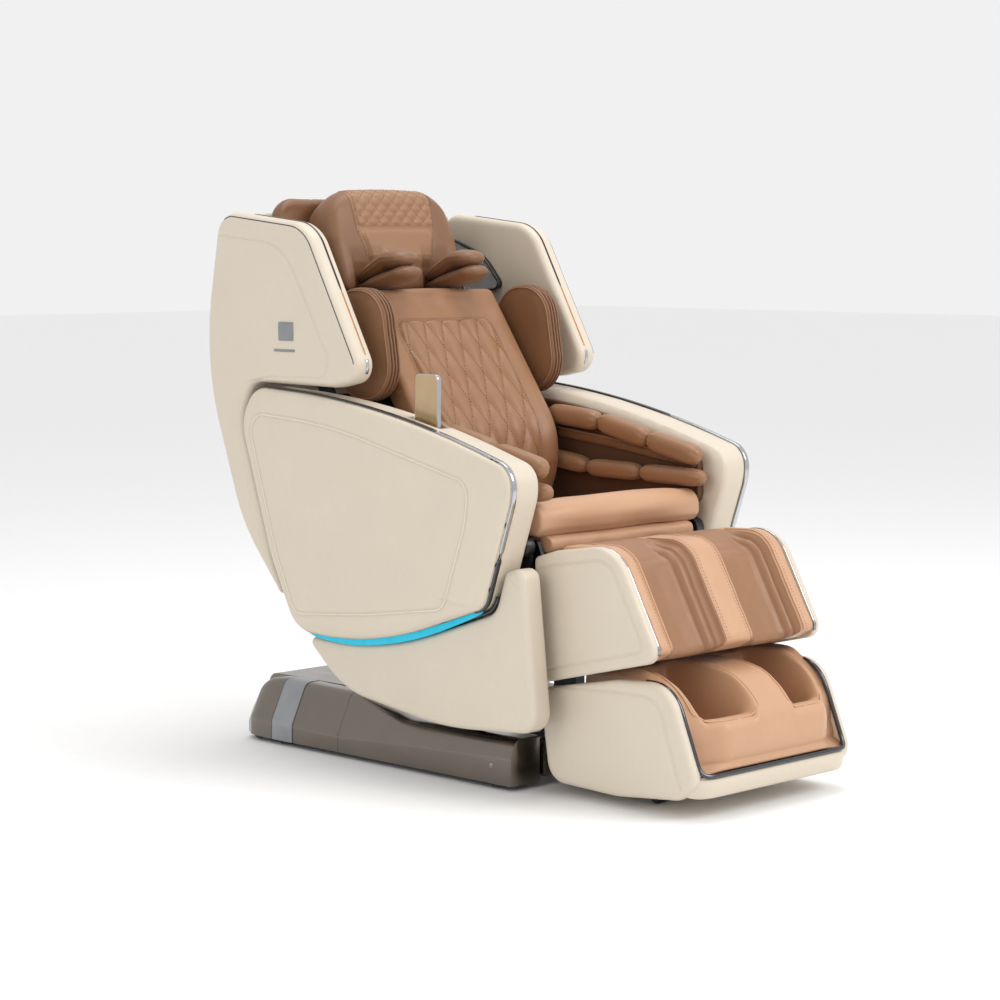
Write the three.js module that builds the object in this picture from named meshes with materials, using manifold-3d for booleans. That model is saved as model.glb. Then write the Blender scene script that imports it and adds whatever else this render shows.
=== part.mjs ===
// A reclining massage chair with its legrest down, in millimetres.
// X runs across the chair, the sitter faces -Y, Z is up, and the floor is z = 0.
import * as THREE from 'three';
import { mergeVertices } from 'three/addons/utils/BufferGeometryUtils.js';
import Module from 'manifold-3d';

const wasm = await Module();
wasm.setup();

// ---- Driving dimensions ------------------------------------------------------------------
const GAP = 0.3; // between touching pieces
const LIFT = 12; // underside of the rail covers above the floor

// Pivots in the side plane, as [y, z].
const TILT_PIVOT = [60, 225];
const RECLINE_PIVOT = [412, 340];
const CALF_PIVOT = [-222, 528];
const SHIN_SLOPE = THREE.MathUtils.degToRad(16); // legrest slides from the vertical
const BACK_SLOPE = THREE.MathUtils.degToRad(34.8); // back line from the vertical

// Distances from the middle plane.
const X_RAIL_IN = 213;
const X_RAIL_OUT = 302;
const X_LINING = 272;
const X_ARM_IN = 290;
const X_TRIM = 370;
const X_PANEL = 376;
const X_ARM_OUT = 404;
const X_LOWER_IN = 306;
const X_LOWER_OUT = 362;
const X_SHELL_IN = 330;
const X_SHELL_OUT = 390;
const X_CALF = 252;
const X_CALF_OUT = 275;
const X_FOOT = 234;
const X_FOOT_OUT = 260;

// Side outlines: each corner is [y, z, radius of its round].
const ARM = [
  [-291, 703, 52], [-292, 640, 130], [-212, 405, 45], [140, 286, 1000], [382, 298, 80],
  [468, 460, 400], [571, 765, 90], [526, 843, 60], [95, 820, 2600],
];
const SHELL = [
  [160, 872, 28], [262, 850, 60], [538, 853, 42], [579, 766, 115], [477, 464, 400],
  [437, 376, 3], [450, 374, 3], [582, 527, 400], [716, 896, 600], [652, 1243, 60],
  [349, 1210, 100],
];
const LOWER_PANEL = [
  [-340, 150, 45], [-60, 128, 900], [262, 172, 250], [396, 286, 14], [140, 274, 1000],
  [-219, 394, 50], [-247, 482, 12], [-302, 500, 25],
];
const LIGHT_STRIP = [
  [-192, 388.5, 1], [140, 277, 1000], [345, 287.5, 1], [345, 293.5, 1], [140, 283, 1000],
  [-190, 394.5, 1],
];
const BACK_COVER = [
  [438, 392, 3], [452, 384, 3], [580, 530, 400], [713, 896, 600], [651, 1238, 8],
  [629, 1236, 8], [692, 896, 580], [562, 540, 400],
];
const BACK_CUSHION = [
  [165, 572, 22], [225, 572, 15], [176, 690, 110], [418, 1034, 25], [364, 1068, 25],
  [112, 705, 180],
];
const HEAD_CUSHION = [
  [436, 1108, 30], [500, 1092, 30], [572, 1130, 40], [572, 1292, 50], [488, 1292, 40],
];
const SEAT_CUSHION = [
  [-258, 548, 24], [-188, 548, 3], [-188, 480, 12], [188, 480, 12], [188, 564, 24],
  [-110, 594, 200], [-258, 630, 38],
];
const CALF_SIDE = [
  [-248, 236, 12], [-602, 322, 30], [-476, 552, 90], [-312, 527, 60], [-250, 508, 10],
];
const FOOT_SIDE = [
  [-248, 226, 12], [-278, 30, 50], [-470, 24, 200], [-696, 66, 14], [-610, 278, 80],
  [-470, 270, 200],
];
const FOOT_TRAY = [
  [-252, 190, 2], [-280, 32, 44], [-470, 24, 200], [-699.2, 70, 8], [-686, 103, 3],
  [-676, 100, 3], [-686, 78, 3], [-470, 36, 200], [-290, 44, 36], [-264, 190, 2],
];
const FOOT_MIDDLE = [
  [-674, 106, 8], [-698, 180, 60], [-640, 288, 50], [-430, 282, 60], [-372, 262, 12],
  [-392, 106, 8],
];
const FOOT_EDGE = [
  [-674, 106, 8], [-668, 180, 60], [-606, 266, 50], [-430, 276, 60], [-372, 258, 12],
  [-392, 106, 8],
];
const FOOT_WELL = [
  [-674, 106, 8], [-696, 176, 30], [-680, 196, 8], [-634, 190, 14], [-600, 126, 20],
  [-450, 122, 20], [-424, 270, 12], [-372, 258, 12], [-392, 106, 8],
];

const GREY = 0x6b625b;
const CREAM = 0xe5dbcb;
const TAN = 0xe2b594;
const BROWN = 0xa67c5f;
const DARK_BROWN = 0x5a3a26;

// ---- Solids ------------------------------------------------------------------------------
// A closed side outline with rounded corners, counter-clockwise in its plane.
function outline(corners, divisions = 2) {
  const points = corners.map(([u, v, r]) => ({ p: new THREE.Vector2(u, v), r }));
  const shape = new THREE.Path();
  points.forEach(({ p, r }, i) => {
    const before = points[(i + points.length - 1) % points.length].p.clone().sub(p).normalize();
    const after = points[(i + 1) % points.length].p.clone().sub(p).normalize();
    const half = Math.acos(THREE.MathUtils.clamp(before.dot(after), -1, 1)) / 2;
    const reach = r / Math.tan(half);
    const centre = before.clone().add(after).normalize().multiplyScalar(r / Math.sin(half)).add(p);
    const from = before.clone().multiplyScalar(reach).add(p).sub(centre);
    const to = after.clone().multiplyScalar(reach).add(p).sub(centre);
    shape.absarc(centre.x, centre.y, r, from.angle(), to.angle(), from.cross(to) < 0);
  });
  const loop = shape.getPoints(divisions);
  const clean = loop.filter((q, i) => q.distanceTo(loop[(i + 1) % loop.length]) > 0.02);
  return THREE.ShapeUtils.area(clean) < 0 ? clean.reverse() : clean;
}

// Moves every point of a loop inwards by a distance.
function inset(loop, distance) {
  return loop.map((q, i) => {
    const a = loop[(i + loop.length - 1) % loop.length];
    const b = loop[(i + 1) % loop.length];
    const inwards = new THREE.Vector2(a.y - b.y, b.x - a.x).normalize();
    return q.clone().addScaledVector(inwards, distance);
  });
}

// Joins loops of equal length into one closed skin; each loop is a list of Vector3.
function loft(loops, cap) {
  const n = loops[0].length;
  const position = loops.flat().flatMap((q) => [q.x, q.y, q.z]);
  const index = [];
  for (let k = 0; k + 1 < loops.length; k += 1) {
    for (let i = 0; i < n; i += 1) {
      const [a, b] = [k * n + i, k * n + (i + 1) % n];
      index.push(a, b, b + n, a, b + n, a + n);
    }
  }
  const last = (loops.length - 1) * n;
  cap.forEach(([a, b, c]) => index.push(a, c, b, last + a, last + b, last + c));
  const geometry = new THREE.BufferGeometry();
  geometry.setAttribute('position', new THREE.Float32BufferAttribute(position, 3));
  geometry.setIndex(index);
  return geometry;
}

const PLANES = {
  side: (u, v, w) => new THREE.Vector3(w, u, v), // outline in YZ, depth along X
  plan: (u, v, w) => new THREE.Vector3(u, v, w), // outline in XY, depth along Z
  front: (u, v, w) => new THREE.Vector3(u, -w, v), // outline in XZ, depth along -Y
};

// An outline drawn through stations [depth, inset], in rising order of depth.
function slab(corners, stations, { plane = 'side', divisions = 2 } = {}) {
  const flat = outline(corners, divisions);
  const place = PLANES[plane];
  const loops = stations.map(([w, by]) => inset(flat, by).map((q) => place(q.x, q.y, w)));
  return loft(loops, THREE.ShapeUtils.triangulateShape(flat, []));
}

// The same slab with both faces rounded over by a radius.
function pillow(corners, from, to, r, options) {
  const stations = [
    [from, r], [from + 0.3 * r, 0.3 * r], [from + r, 0],
    [to - r, 0], [to - 0.3 * r, 0.3 * r], [to, r],
  ];
  return slab(corners, stations, options);
}

function box(x0, x1, y0, y1, z0, z1) {
  const geometry = new THREE.BoxGeometry(x1 - x0, y1 - y0, z1 - z0);
  return geometry.translate((x0 + x1) / 2, (y0 + y1) / 2, (z0 + z1) / 2);
}

// A round bar along X.
function barX(x0, x1, y, z, r, sides = 12) {
  const geometry = new THREE.CylinderGeometry(r, r, x1 - x0, sides);
  return geometry.rotateZ(-Math.PI / 2).translate((x0 + x1) / 2, y, z);
}

// A round bar along Z.
function barZ(x, y, z0, z1, r, sides = 12) {
  const geometry = new THREE.CylinderGeometry(r, r, z1 - z0, sides);
  return geometry.rotateX(Math.PI / 2).translate(x, y, (z0 + z1) / 2);
}

function solid(geometry) {
  const plain = geometry.clone();
  plain.deleteAttribute('normal');
  plain.deleteAttribute('uv');
  const merged = mergeVertices(plain, 1e-3);
  return new wasm.Manifold(new wasm.Mesh({
    numProp: 3,
    vertProperties: new Float32Array(merged.attributes.position.array),
    triVerts: new Uint32Array(merged.index.array),
  }));
}

function geometryOf(manifold) {
  const mesh = manifold.getMesh();
  const geometry = new THREE.BufferGeometry();
  geometry.setAttribute('position', new THREE.BufferAttribute(mesh.vertProperties, 3));
  geometry.setIndex(new THREE.BufferAttribute(mesh.triVerts, 1));
  return geometry;
}

const join = (...parts) => geometryOf(parts.map(solid).reduce((sum, part) => sum.add(part)));
const cut = (from, ...parts) => geometryOf(
  parts.map(solid).reduce((left, part) => left.subtract(part), solid(from)),
);

// ---- Scene -------------------------------------------------------------------------------
const chair = new THREE.Group();

const finish = (color, roughness, metalness = 0) => ({ color, roughness, metalness });
const UPHOLSTERY = finish(CREAM, 0.55);
const LIGHT_LEATHER = finish(TAN, 0.5);
const BROWN_LEATHER = finish(BROWN, 0.5);
const DARK_LEATHER = finish(DARK_BROWN, 0.6);
const CASTING = finish(GREY, 0.35, 0.9);
const STEEL = finish(0x55585c, 0.5, 0.7);
const CHROME = finish(0xd8dadd, 0.12, 1);
const BLACK = finish(0x17181a, 0.5);

function add(name, geometry, look, parent = chair) {
  const mesh = new THREE.Mesh(geometry, new THREE.MeshStandardMaterial(look));
  mesh.name = name;
  parent.add(mesh);
  return mesh;
}

// Calls build(name suffix, sign of X) for the left (-X) and right (+X) sides.
const SIDES = [['left', -1], ['right', 1]];
const bothSides = (build) => SIDES.forEach(([side, sign]) => build(side, sign));

// Stations and spans given as distances from the middle plane, turned into X for one side.
const onSide = (sign, stations) => stations
  .map(([w, by]) => [sign * w, by])
  .sort((a, b) => a[0] - b[0]);
const span = (sign, from, to) => [Math.min(sign * from, sign * to), Math.max(sign * from, sign * to)];

// ---- Base --------------------------------------------------------------------------------
// Rail cover sections along Y: outer face, shoulder height, inner edge of the slope, top.
const RAIL_SECTIONS = [
  { y: -210, out: 300, shoulder: 73, slope: 288, top: 113 },
  { y: -185, out: 302, shoulder: 73, slope: 290, top: 115 },
  { y: 150, out: 302, shoulder: 62, slope: 272, top: 112 },
  { y: 344, out: 302, shoulder: 50, slope: 258, top: 146 },
  { y: 600, out: 302, shoulder: 56, slope: 256, top: 150 },
  { y: 655, out: 298, shoulder: 56, slope: 254, top: 140 },
  { y: 684, out: 284, shoulder: 48, slope: 252, top: 110 },
  { y: 696, out: 262, shoulder: 30, slope: 250, top: 60 },
];
const RAIL_WALL = 6;

function railBody(wall) {
  const ends = [RAIL_SECTIONS[0].y + wall, RAIL_SECTIONS.at(-1).y - wall];
  const loops = RAIL_SECTIONS.map((s) => {
    const y = THREE.MathUtils.clamp(s.y, ...ends);
    const floor = wall ? -1 : LIFT;
    const inner = wall ? X_RAIL_IN - 1 : X_RAIL_IN;
    const at = (x, z) => new THREE.Vector3(x, y, z);
    return [
      at(inner, floor), at(inner, s.top - wall), at(s.slope - wall / 2, s.top - wall),
      at(s.out - wall, s.shoulder - wall / 2), at(s.out - wall, floor),
    ];
  });
  return loft(loops, [[0, 1, 2], [0, 2, 3], [0, 3, 4]]);
}

// The rear end of the hollow stops short of the rounded corner.
function railCover(sign) {
  const hollow = solid(railBody(RAIL_WALL)).intersect(solid(box(0, 400, -204, 670, -2, 200)));
  const right = geometryOf(solid(railBody(0)).subtract(hollow));
  return sign > 0 ? right : geometryOf(solid(right).mirror([1, 0, 0]));
}

const CROSSBARS = [[-160, -120], [540, 580]];
const BEAM = { y0: -140, y1: 560, z0: 30, z1: 70, in: 150, out: 180 };
const FEET = [[262, -140], [262, 560]];
const WHEEL = { x0: 270, x1: 288, y: 640, z: 25, r: 22, bore: 6, axle: 5 };
const TILT_BORE = 14;

const CROSSBAR_HALF = 282;
const POST = { y0: 25, y1: 95, z0: 60, z1: 250 };
const FOOT_R = 20;
const WHEEL_ARM = { in: 250, out: 262, y0: 570, y1: 655, drop: 632, z0: 15, z1: 44 };

function baseFrame() {
  const parts = CROSSBARS.map(([y0, y1]) => (
    box(-CROSSBAR_HALF, CROSSBAR_HALF, y0, y1, BEAM.z0, BEAM.z1)));
  bothSides((side, sign) => {
    const arm = span(sign, WHEEL_ARM.in, WHEEL_ARM.out);
    parts.push(box(...span(sign, BEAM.in, BEAM.out), BEAM.y0, BEAM.y1, BEAM.z0, BEAM.z1));
    parts.push(box(...span(sign, BEAM.in, BEAM.out), POST.y0, POST.y1, POST.z0, POST.z1));
    FEET.forEach(([x, y]) => parts.push(barZ(sign * x, y, 0, 40, FOOT_R)));
    parts.push(box(...arm, WHEEL_ARM.y0, WHEEL_ARM.y1, BEAM.z0, WHEEL_ARM.z1));
    parts.push(box(...arm, WHEEL_ARM.drop, WHEEL_ARM.y1, WHEEL_ARM.z0, WHEEL_ARM.z1));
    parts.push(barX(...span(sign, 255, WHEEL.x1 + 4), WHEEL.y, WHEEL.z, WHEEL.axle));
  });
  const bores = SIDES.map(([, sign]) => (
    barX(...span(sign, BEAM.in - 5, BEAM.out + 5), ...TILT_PIVOT, TILT_BORE)));
  return cut(join(...parts), ...bores);
}

bothSides((side, sign) => {
  add(`base_rail_${side}`, railCover(sign), CASTING);
  const [x0, x1] = span(sign, WHEEL.x0, WHEEL.x1);
  const tyre = barX(x0, x1, WHEEL.y, WHEEL.z, WHEEL.r, 24);
  const wheel = cut(tyre, barX(x0 - 1, x1 + 1, WHEEL.y, WHEEL.z, WHEEL.bore));
  add(`transport_wheel_${side}`, wheel, BLACK);
});
add('base_frame', baseFrame(), STEEL);

const FRONT_COVER = [[-200, 18, 14], [200, 18, 14], [200, 104, 20], [-200, 104, 20]];
add('base_front_cover', pillow(FRONT_COVER, 180, 208, 8, { plane: 'front' }), CASTING);

const REAR_COVER = [
  [690, 16, 2], [690, 148, 30], [340, 148, 4], [340, 138, 2], [676, 138, 20], [676, 16, 2],
];
const MODULE = { x0: 70, x1: 150, z0: 36, z1: 96, y0: 650, y1: 689 };
const SWITCH = { x0: 80, x1: 102, z: 66, half: 10, y0: 681, y1: 691 };
const INLET = { x0: 112, x1: 140, z0: 56, z1: 76, y0: 670 };
const moduleWindow = box(MODULE.x0, MODULE.x1, 670, 700, MODULE.z0, MODULE.z1);
const rearSpan = X_RAIL_IN - GAP;
add('base_rear_cover', cut(slab(REAR_COVER, [[-rearSpan, 0], [rearSpan, 0]]), moduleWindow), CASTING);

function powerModule() {
  const block = box(
    MODULE.x0 + GAP, MODULE.x1 - GAP, MODULE.y0, MODULE.y1, MODULE.z0 + GAP, MODULE.z1 - GAP,
  );
  const rockerHole = box(
    SWITCH.x0 - 1, SWITCH.x1 + 1, 675, 700, SWITCH.z - SWITCH.half - 2, SWITCH.z + SWITCH.half + 2,
  );
  const socket = box(INLET.x0, INLET.x1, INLET.y0, 700, INLET.z0, INLET.z1);
  const pins = [118, 126, 134].map((x) => box(x - 1, x + 1, INLET.y0 - 4, 686, 63, 69));
  return join(cut(block, rockerHole, socket), ...pins);
}
add('power_module', powerModule(), BLACK);
const rockerSide = [
  [SWITCH.y0, SWITCH.z - SWITCH.half, 2], [SWITCH.y1, SWITCH.z - SWITCH.half, 2],
  [SWITCH.y1 - 2, SWITCH.z, 30], [SWITCH.y1, SWITCH.z + SWITCH.half, 2],
  [SWITCH.y0, SWITCH.z + SWITCH.half, 2],
];
add('power_switch', slab(rockerSide, [[SWITCH.x0, 0], [SWITCH.x1, 0]]), finish(0x8f1c18, 0.4));

const actuatorTube = new THREE.CylinderGeometry(17, 17, 200, 16).translate(0, 300, 96);
const actuatorRod = new THREE.CylinderGeometry(9, 9, 90, 12).translate(0, 165, 96);
const actuatorMotor = box(-32, 32, 390, 480, 64, 128);
add('tilt_actuator', join(actuatorTube, actuatorRod, actuatorMotor), STEEL);

// ---- Seat carriage: frame, seat, arms ----------------------------------------------------
const STUB = { from: 236, to: 268, r: 9 };
const CAP = { from: 268, to: 286, r: 20 };

// Bars of the seat frame as [x0, x1, y0, y1, z0, z1]; those at the sides are mirrored.
const SEAT_BARS = {
  frontPlate: [-230, 230, -198, -190, 330, 540],
  middle: [-230, 230, 40, 80, 440, 475],
  rear: [-230, 230, 270, 300, 440, 475],
};
const SEAT_SIDE_BARS = {
  rail: [200, 230, -198, 300, 440, 475],
  tiltPlate: [184, 200, 30, 90, 198, 475],
  rearPost: [200, 230, 270, 300, 318, 475],
  reclineArm: [200, 230, 270, 440, 318, 362],
  calfArm: [200, 270, -222, -190, 440, 470],
  calfPlate: [262, 270, -236, -208, 440, 545],
};
const TILT_SHAFT = { half: 200, r: 12 };
const RECLINE_SHAFT = { in: 205, out: 262, r: 10 };

function seatFrame() {
  const parts = Object.values(SEAT_BARS).map((sides) => box(...sides));
  parts.push(barX(-TILT_SHAFT.half, TILT_SHAFT.half, ...TILT_PIVOT, TILT_SHAFT.r));
  bothSides((side, sign) => {
    Object.values(SEAT_SIDE_BARS).forEach(([x0, x1, ...rest]) => {
      parts.push(box(...span(sign, x0, x1), ...rest));
    });
    const [r0, r1] = span(sign, RECLINE_SHAFT.in, RECLINE_SHAFT.out);
    parts.push(barX(r0, r1, ...RECLINE_PIVOT, RECLINE_SHAFT.r));
    parts.push(barX(...span(sign, STUB.from, STUB.to), ...CALF_PIVOT, STUB.r));
    parts.push(barX(...span(sign, CAP.from, CAP.to), ...CALF_PIVOT, CAP.r, 20));
  });
  return join(...parts);
}
add('seat_frame', seatFrame(), STEEL);

const seatHalf = 258;
const FRONT_ROLL = [[-262, 512, 14], [-200, 512, 5], [-200, 556, 5], [-262, 544, 14]];
add('seat_cushion', join(
  pillow(SEAT_CUSHION, -seatHalf, seatHalf, 8),
  slab(FRONT_ROLL, [[-230, 3], [-227, 0], [227, 0], [230, 3]]),
), LIGHT_LEATHER);
const PUMP = [[-110, -110, 20], [110, -110, 20], [110, 20, 20], [-110, 20, 20]];
add('air_pump', pillow(PUMP, 300, 420, 12, { plane: 'plan' }), BLACK);

// Airbag rows on the inside of the arm, above and below the forearm.
const AIRBAG_ROWS = {
  upper: [[-284, 664, 15], [-60, 728, 300], [200, 742, 24], [200, 794, 24], [-20, 780, 400],
    [-284, 706, 22]],
  lower: [[-272, 626, 17], [40, 628, 400], [244, 652, 18], [244, 692, 18], [40, 668, 400],
    [-272, 662, 17]],
};
const LINING = [
  [-236, 690, 30], [-240, 590, 30], [-180, 560, 20], [200, 540, 20], [330, 560, 40],
  [440, 790, 30], [400, 812, 20], [90, 788, 1500],
];

// The pocket for the remote is sunk into the top of the left arm.
const POCKET = { x: -330, y: 14, z: 762, wide: 38, long: 100, deep: 70, wall: 4, slope: 0.215 };
const REMOTE = { thick: 13, wide: 72, tall: 176, foot: 712 };

function inPocket(geometry) {
  return geometry.rotateX(POCKET.slope).translate(POCKET.x, POCKET.y, POCKET.z);
}
const pocketBox = (grow, z0, z1) => box(
  -POCKET.wide / 2 - grow, POCKET.wide / 2 + grow, -POCKET.long / 2 - grow,
  POCKET.long / 2 + grow, z0, z1,
);

bothSides((side, sign) => {
  const body = slab(ARM, onSide(sign, [
    [X_ARM_IN, 24], [X_ARM_IN + 7, 7], [X_ARM_IN + 24, 0], [X_TRIM - GAP, 0],
  ]));
  const hole = inPocket(pocketBox(GAP, -POCKET.deep - 1, 80));
  add(`arm_body_${side}`, sign < 0 ? cut(body, hole) : body, UPHOLSTERY);
  add(`arm_trim_${side}`, slab(ARM, onSide(sign, [[X_TRIM, 0], [X_PANEL - GAP, 0]])), CHROME);
  add(`arm_panel_${side}`, slab(ARM, onSide(sign, [
    [X_PANEL, 0.5], [X_PANEL + 10, 0.5], [X_ARM_OUT - 6, 8], [X_ARM_OUT, 40],
  ])), UPHOLSTERY);
  add(`arm_lining_${side}`, slab(LINING, onSide(sign, [
    [X_LINING, 4], [X_LINING + 4, 0], [X_ARM_IN - GAP, 0],
  ])), DARK_LEATHER);
  Object.entries(AIRBAG_ROWS).forEach(([row, corners]) => {
    const [x0, x1] = span(sign, X_LINING - 46, X_LINING - GAP);
    add(`arm_airbag_${row}_${side}`, pillow(corners, x0, x1, 12), BROWN_LEATHER);
  });
  add(`lower_panel_${side}`, slab(LOWER_PANEL, onSide(sign, [
    [X_LOWER_IN, 8], [X_LOWER_IN + 8, 0], [X_LOWER_OUT - 10, 0], [X_LOWER_OUT, 10],
  ])), UPHOLSTERY);
  const [s0, s1] = span(sign, X_SHELL_IN, X_TRIM - 2);
  add(`light_strip_${side}`, slab(LIGHT_STRIP, [[s0, 0], [s1, 0]]), finish(0x00cdeb, 0.3));
});

const pocketShell = pocketBox(0, -POCKET.deep, 14);
const pocketSpace = pocketBox(-POCKET.wall, -POCKET.deep + POCKET.wall, 40);
add('remote_pocket', inPocket(cut(pocketShell, pocketSpace)), CHROME);
const REMOTE_FACE = [
  [-36, 0, 10], [36, 0, 10], [36, REMOTE.tall, 12], [-36, REMOTE.tall, 12],
].map(([y, z, r]) => [y + POCKET.y, z + REMOTE.foot, r]);
const remoteHalf = REMOTE.thick / 2;
add('remote', slab(REMOTE_FACE, [
  [POCKET.x - remoteHalf, 2], [POCKET.x - remoteHalf + 2, 0],
  [POCKET.x + remoteHalf - 2, 0], [POCKET.x + remoteHalf, 2],
]), finish(0xbea582, 0.3, 0.8));

// ---- Back --------------------------------------------------------------------------------
const shellSpan = X_SHELL_IN - GAP;
bothSides((side, sign) => {
  add(`back_shell_${side}`, slab(SHELL, onSide(sign, [
    [X_SHELL_IN, 4], [X_SHELL_IN + 6, 0], [X_SHELL_OUT - 8, 0], [X_SHELL_OUT, 6],
  ])), UPHOLSTERY);
  const GRILLE = [[428, 1058, 14], [560, 1046, 20], [632, 1186, 16], [500, 1140, 150]];
  const [g0, g1] = span(sign, 318, shellSpan);
  add(`speaker_grille_${side}`, slab(GRILLE, [[g0, 0], [g1, 0]]), BLACK);
  const SHOULDER = [[190, 816, 70], [356, 816, 70], [400, 1060, 70], [232, 1060, 70]];
  const [a0, a1] = span(sign, 236, 289);
  add(`shoulder_airbag_${side}`, pillow(SHOULDER, a0, a1, 24), BROWN_LEATHER);
  const NECK = [
    [510, 1056, 8], [510, 1076, 8], [424, 1104, 30], [412, 1156, 14], [318, 1156, 30],
    [282, 1100, 20], [344, 1076, 20],
  ];
  const [n0, n1] = span(sign, 66, 150);
  add(`neck_pad_${side}`, pillow(NECK, n0, n1, 6), BROWN_LEATHER);
});
add('back_cover', slab(BACK_COVER, [[-shellSpan, 0], [shellSpan, 0]]), UPHOLSTERY);
add('back_cushion', pillow(BACK_CUSHION, -218, 218, 14), BROWN_LEATHER);
add('head_cushion', pillow(HEAD_CUSHION, -196, 196, 24), BROWN_LEATHER);
const HEAD_REST = [
  [580, 1120, 20], [628, 1120, 20], [616, 1210, 60], [616, 1272, 17], [580, 1272, 17],
];
add('head_rest_pad', pillow(HEAD_REST, -268, 268, 16), DARK_LEATHER);

// The massage mechanism lies in a frame parallel to the back: its z runs up the back line,
// and its -y points at the sitter.
const back = new THREE.Group();
back.position.set(0, 250, 700);
back.rotation.x = -BACK_SLOPE;
chair.add(back);
const inChair = (y, z) => new THREE.Vector3(0, y, z).sub(back.position)
  .applyAxisAngle(new THREE.Vector3(1, 0, 0), BACK_SLOPE);

const BACK_BARS = { half: 255, y0: 70, y1: 92, rises: [[-60, -30], [170, 200], [410, 440]] };
const RAILS = { in: 100, out: 116, y0: 44, y1: 75, z0: -60, z1: 440 };
const BACK_SIDE = { in: 240, out: 255, y0: 60, y1: 92 };
const HINGE_REACH = 22;

function backFrame() {
  const hinge = inChair(...RECLINE_PIVOT);
  const parts = BACK_BARS.rises.map(([z0, z1]) => (
    box(-BACK_BARS.half, BACK_BARS.half, BACK_BARS.y0, BACK_BARS.y1, z0, z1)));
  bothSides((side, sign) => {
    parts.push(box(...span(sign, RAILS.in, RAILS.out), RAILS.y0, RAILS.y1, RAILS.z0, RAILS.z1));
    const [p0, p1] = span(sign, BACK_SIDE.in, BACK_SIDE.out);
    parts.push(box(p0, p1, BACK_SIDE.y0, BACK_SIDE.y1, RAILS.z0, RAILS.z1));
    const [low, high] = [hinge.z - HINGE_REACH, hinge.z + HINGE_REACH];
    const plate = [
      [hinge.y - HINGE_REACH, low, 18], [hinge.y + HINGE_REACH, low, 18],
      [hinge.y + HINGE_REACH, high, 18], [92, 20, 20], [60, -50, 10],
    ];
    parts.push(slab(plate, [[p0, 0], [p1, 0]], { divisions: 1 }));
  });
  const bores = SIDES.map(([, sign]) => barX(...span(sign, 235, 260), hinge.y, hinge.z, 12));
  return cut(join(...parts), ...bores);
}
add('back_frame', backFrame(), STEEL, back);

const ARM_PIVOT = { y: 52, z: 150 };
const CARRIAGE = { half: 98, cheek: 14, nose: 16, z0: 112, z1: 188, noseZ0: 125, noseZ1: 175 };
const CARRIAGE_Y = { nose: 20, cheek: 40, block: 48, rear: 66 };
const ROLLER = { r: 26, x0: 42, x1: 64, bore: 6.5, pin: 5.5 };
const rollerPlaces = { upper: [6, 202], lower: [6, 98] };

// A block that slides between the rails, with a shaft for the roller arms on its front.
const { half: blockHalf, z0: blockLow, z1: blockHigh } = CARRIAGE;
const carriageBlock = join(
  box(-blockHalf, blockHalf, CARRIAGE_Y.block, CARRIAGE_Y.rear, blockLow, blockHigh),
  ...SIDES.map(([, sign]) => box(
    ...span(sign, blockHalf - CARRIAGE.cheek, blockHalf), CARRIAGE_Y.cheek, CARRIAGE_Y.rear,
    blockLow, blockHigh,
  )),
  box(
    -CARRIAGE.nose, CARRIAGE.nose, CARRIAGE_Y.nose, CARRIAGE_Y.rear,
    CARRIAGE.noseZ0, CARRIAGE.noseZ1,
  ),
);
add('massage_carriage', carriageBlock, STEEL, back);
bothSides((side, sign) => {
  const [x0, x1] = span(sign, 24, 36);
  const arm = [
    [-4, 90, 8], [14, 90, 8], [40, 150, 30], [14, 210, 8], [-4, 210, 8], [16, 150, 30],
  ];
  const pins = Object.values(rollerPlaces).map(([y, z]) => (
    barX(...span(sign, 30, ROLLER.x1 + 3), y, z, ROLLER.pin)));
  const spindle = barX(...span(sign, 17, 30), 28, 150, 7);
  const bar = slab(arm, [[x0, 0], [x1, 0]], { divisions: 1 });
  add(`roller_arm_${side}`, join(bar, ...pins, spindle), STEEL, back);
  Object.entries(rollerPlaces).forEach(([row, [y, z]]) => {
    const [r0, r1] = span(sign, ROLLER.x0, ROLLER.x1);
    const tread = barX(r0, r1, y, z, ROLLER.r, 16);
    add(
      `massage_roller_${row}_${side}`,
      cut(tread, barX(r0 - 1, r1 + 1, y, z, ROLLER.bore)),
      finish(0xc9c2b4, 0.5),
      back,
    );
  });
});

// ---- Legrest -----------------------------------------------------------------------------
bothSides((side, sign) => {
  add(`calf_side_${side}`, slab(CALF_SIDE, onSide(sign, [
    [X_CALF + GAP, 0], [X_CALF_OUT - 8, 0], [X_CALF_OUT, 8],
  ])), UPHOLSTERY);
});

// The calf pad is a bent board with a raised rim at each side and a raised middle.
const CALF_RIM = [
  [-300, 500, 8], [-440, 498, 60], [-540, 310, 8], [-592, 338, 14], [-476, 545, 80],
  [-312, 536, 20],
];
const CALF_FLOOR = [
  [-300, 470, 8], [-415, 466, 60], [-505, 298, 8], [-552, 322, 8], [-448, 505, 70],
  [-312, 505, 8],
];
const CALF_WELL_X = { in: 42, out: 214 };
add('calf_pad', join(
  slab(CALF_FLOOR, [[-X_CALF, 0], [X_CALF, 0]]),
  slab(CALF_RIM, [[-CALF_WELL_X.in, 0], [CALF_WELL_X.in, 0]]),
  ...SIDES.map(([, sign]) => slab(CALF_RIM, onSide(sign, [[CALF_WELL_X.out, 0], [X_CALF, 0]]))),
), BROWN_LEATHER);

const TUBE = { x: 150, out: 15, bore: 11.5, rod: 11, z0: -66, z1: 110 };
const shin = new THREE.Group();
shin.position.set(0, -314, 340);
shin.rotation.x = -SHIN_SLOPE;
chair.add(shin);
const shinOf = (y, z) => new THREE.Vector3(0, y, z).sub(shin.position)
  .applyAxisAngle(new THREE.Vector3(1, 0, 0), SHIN_SLOPE);

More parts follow.
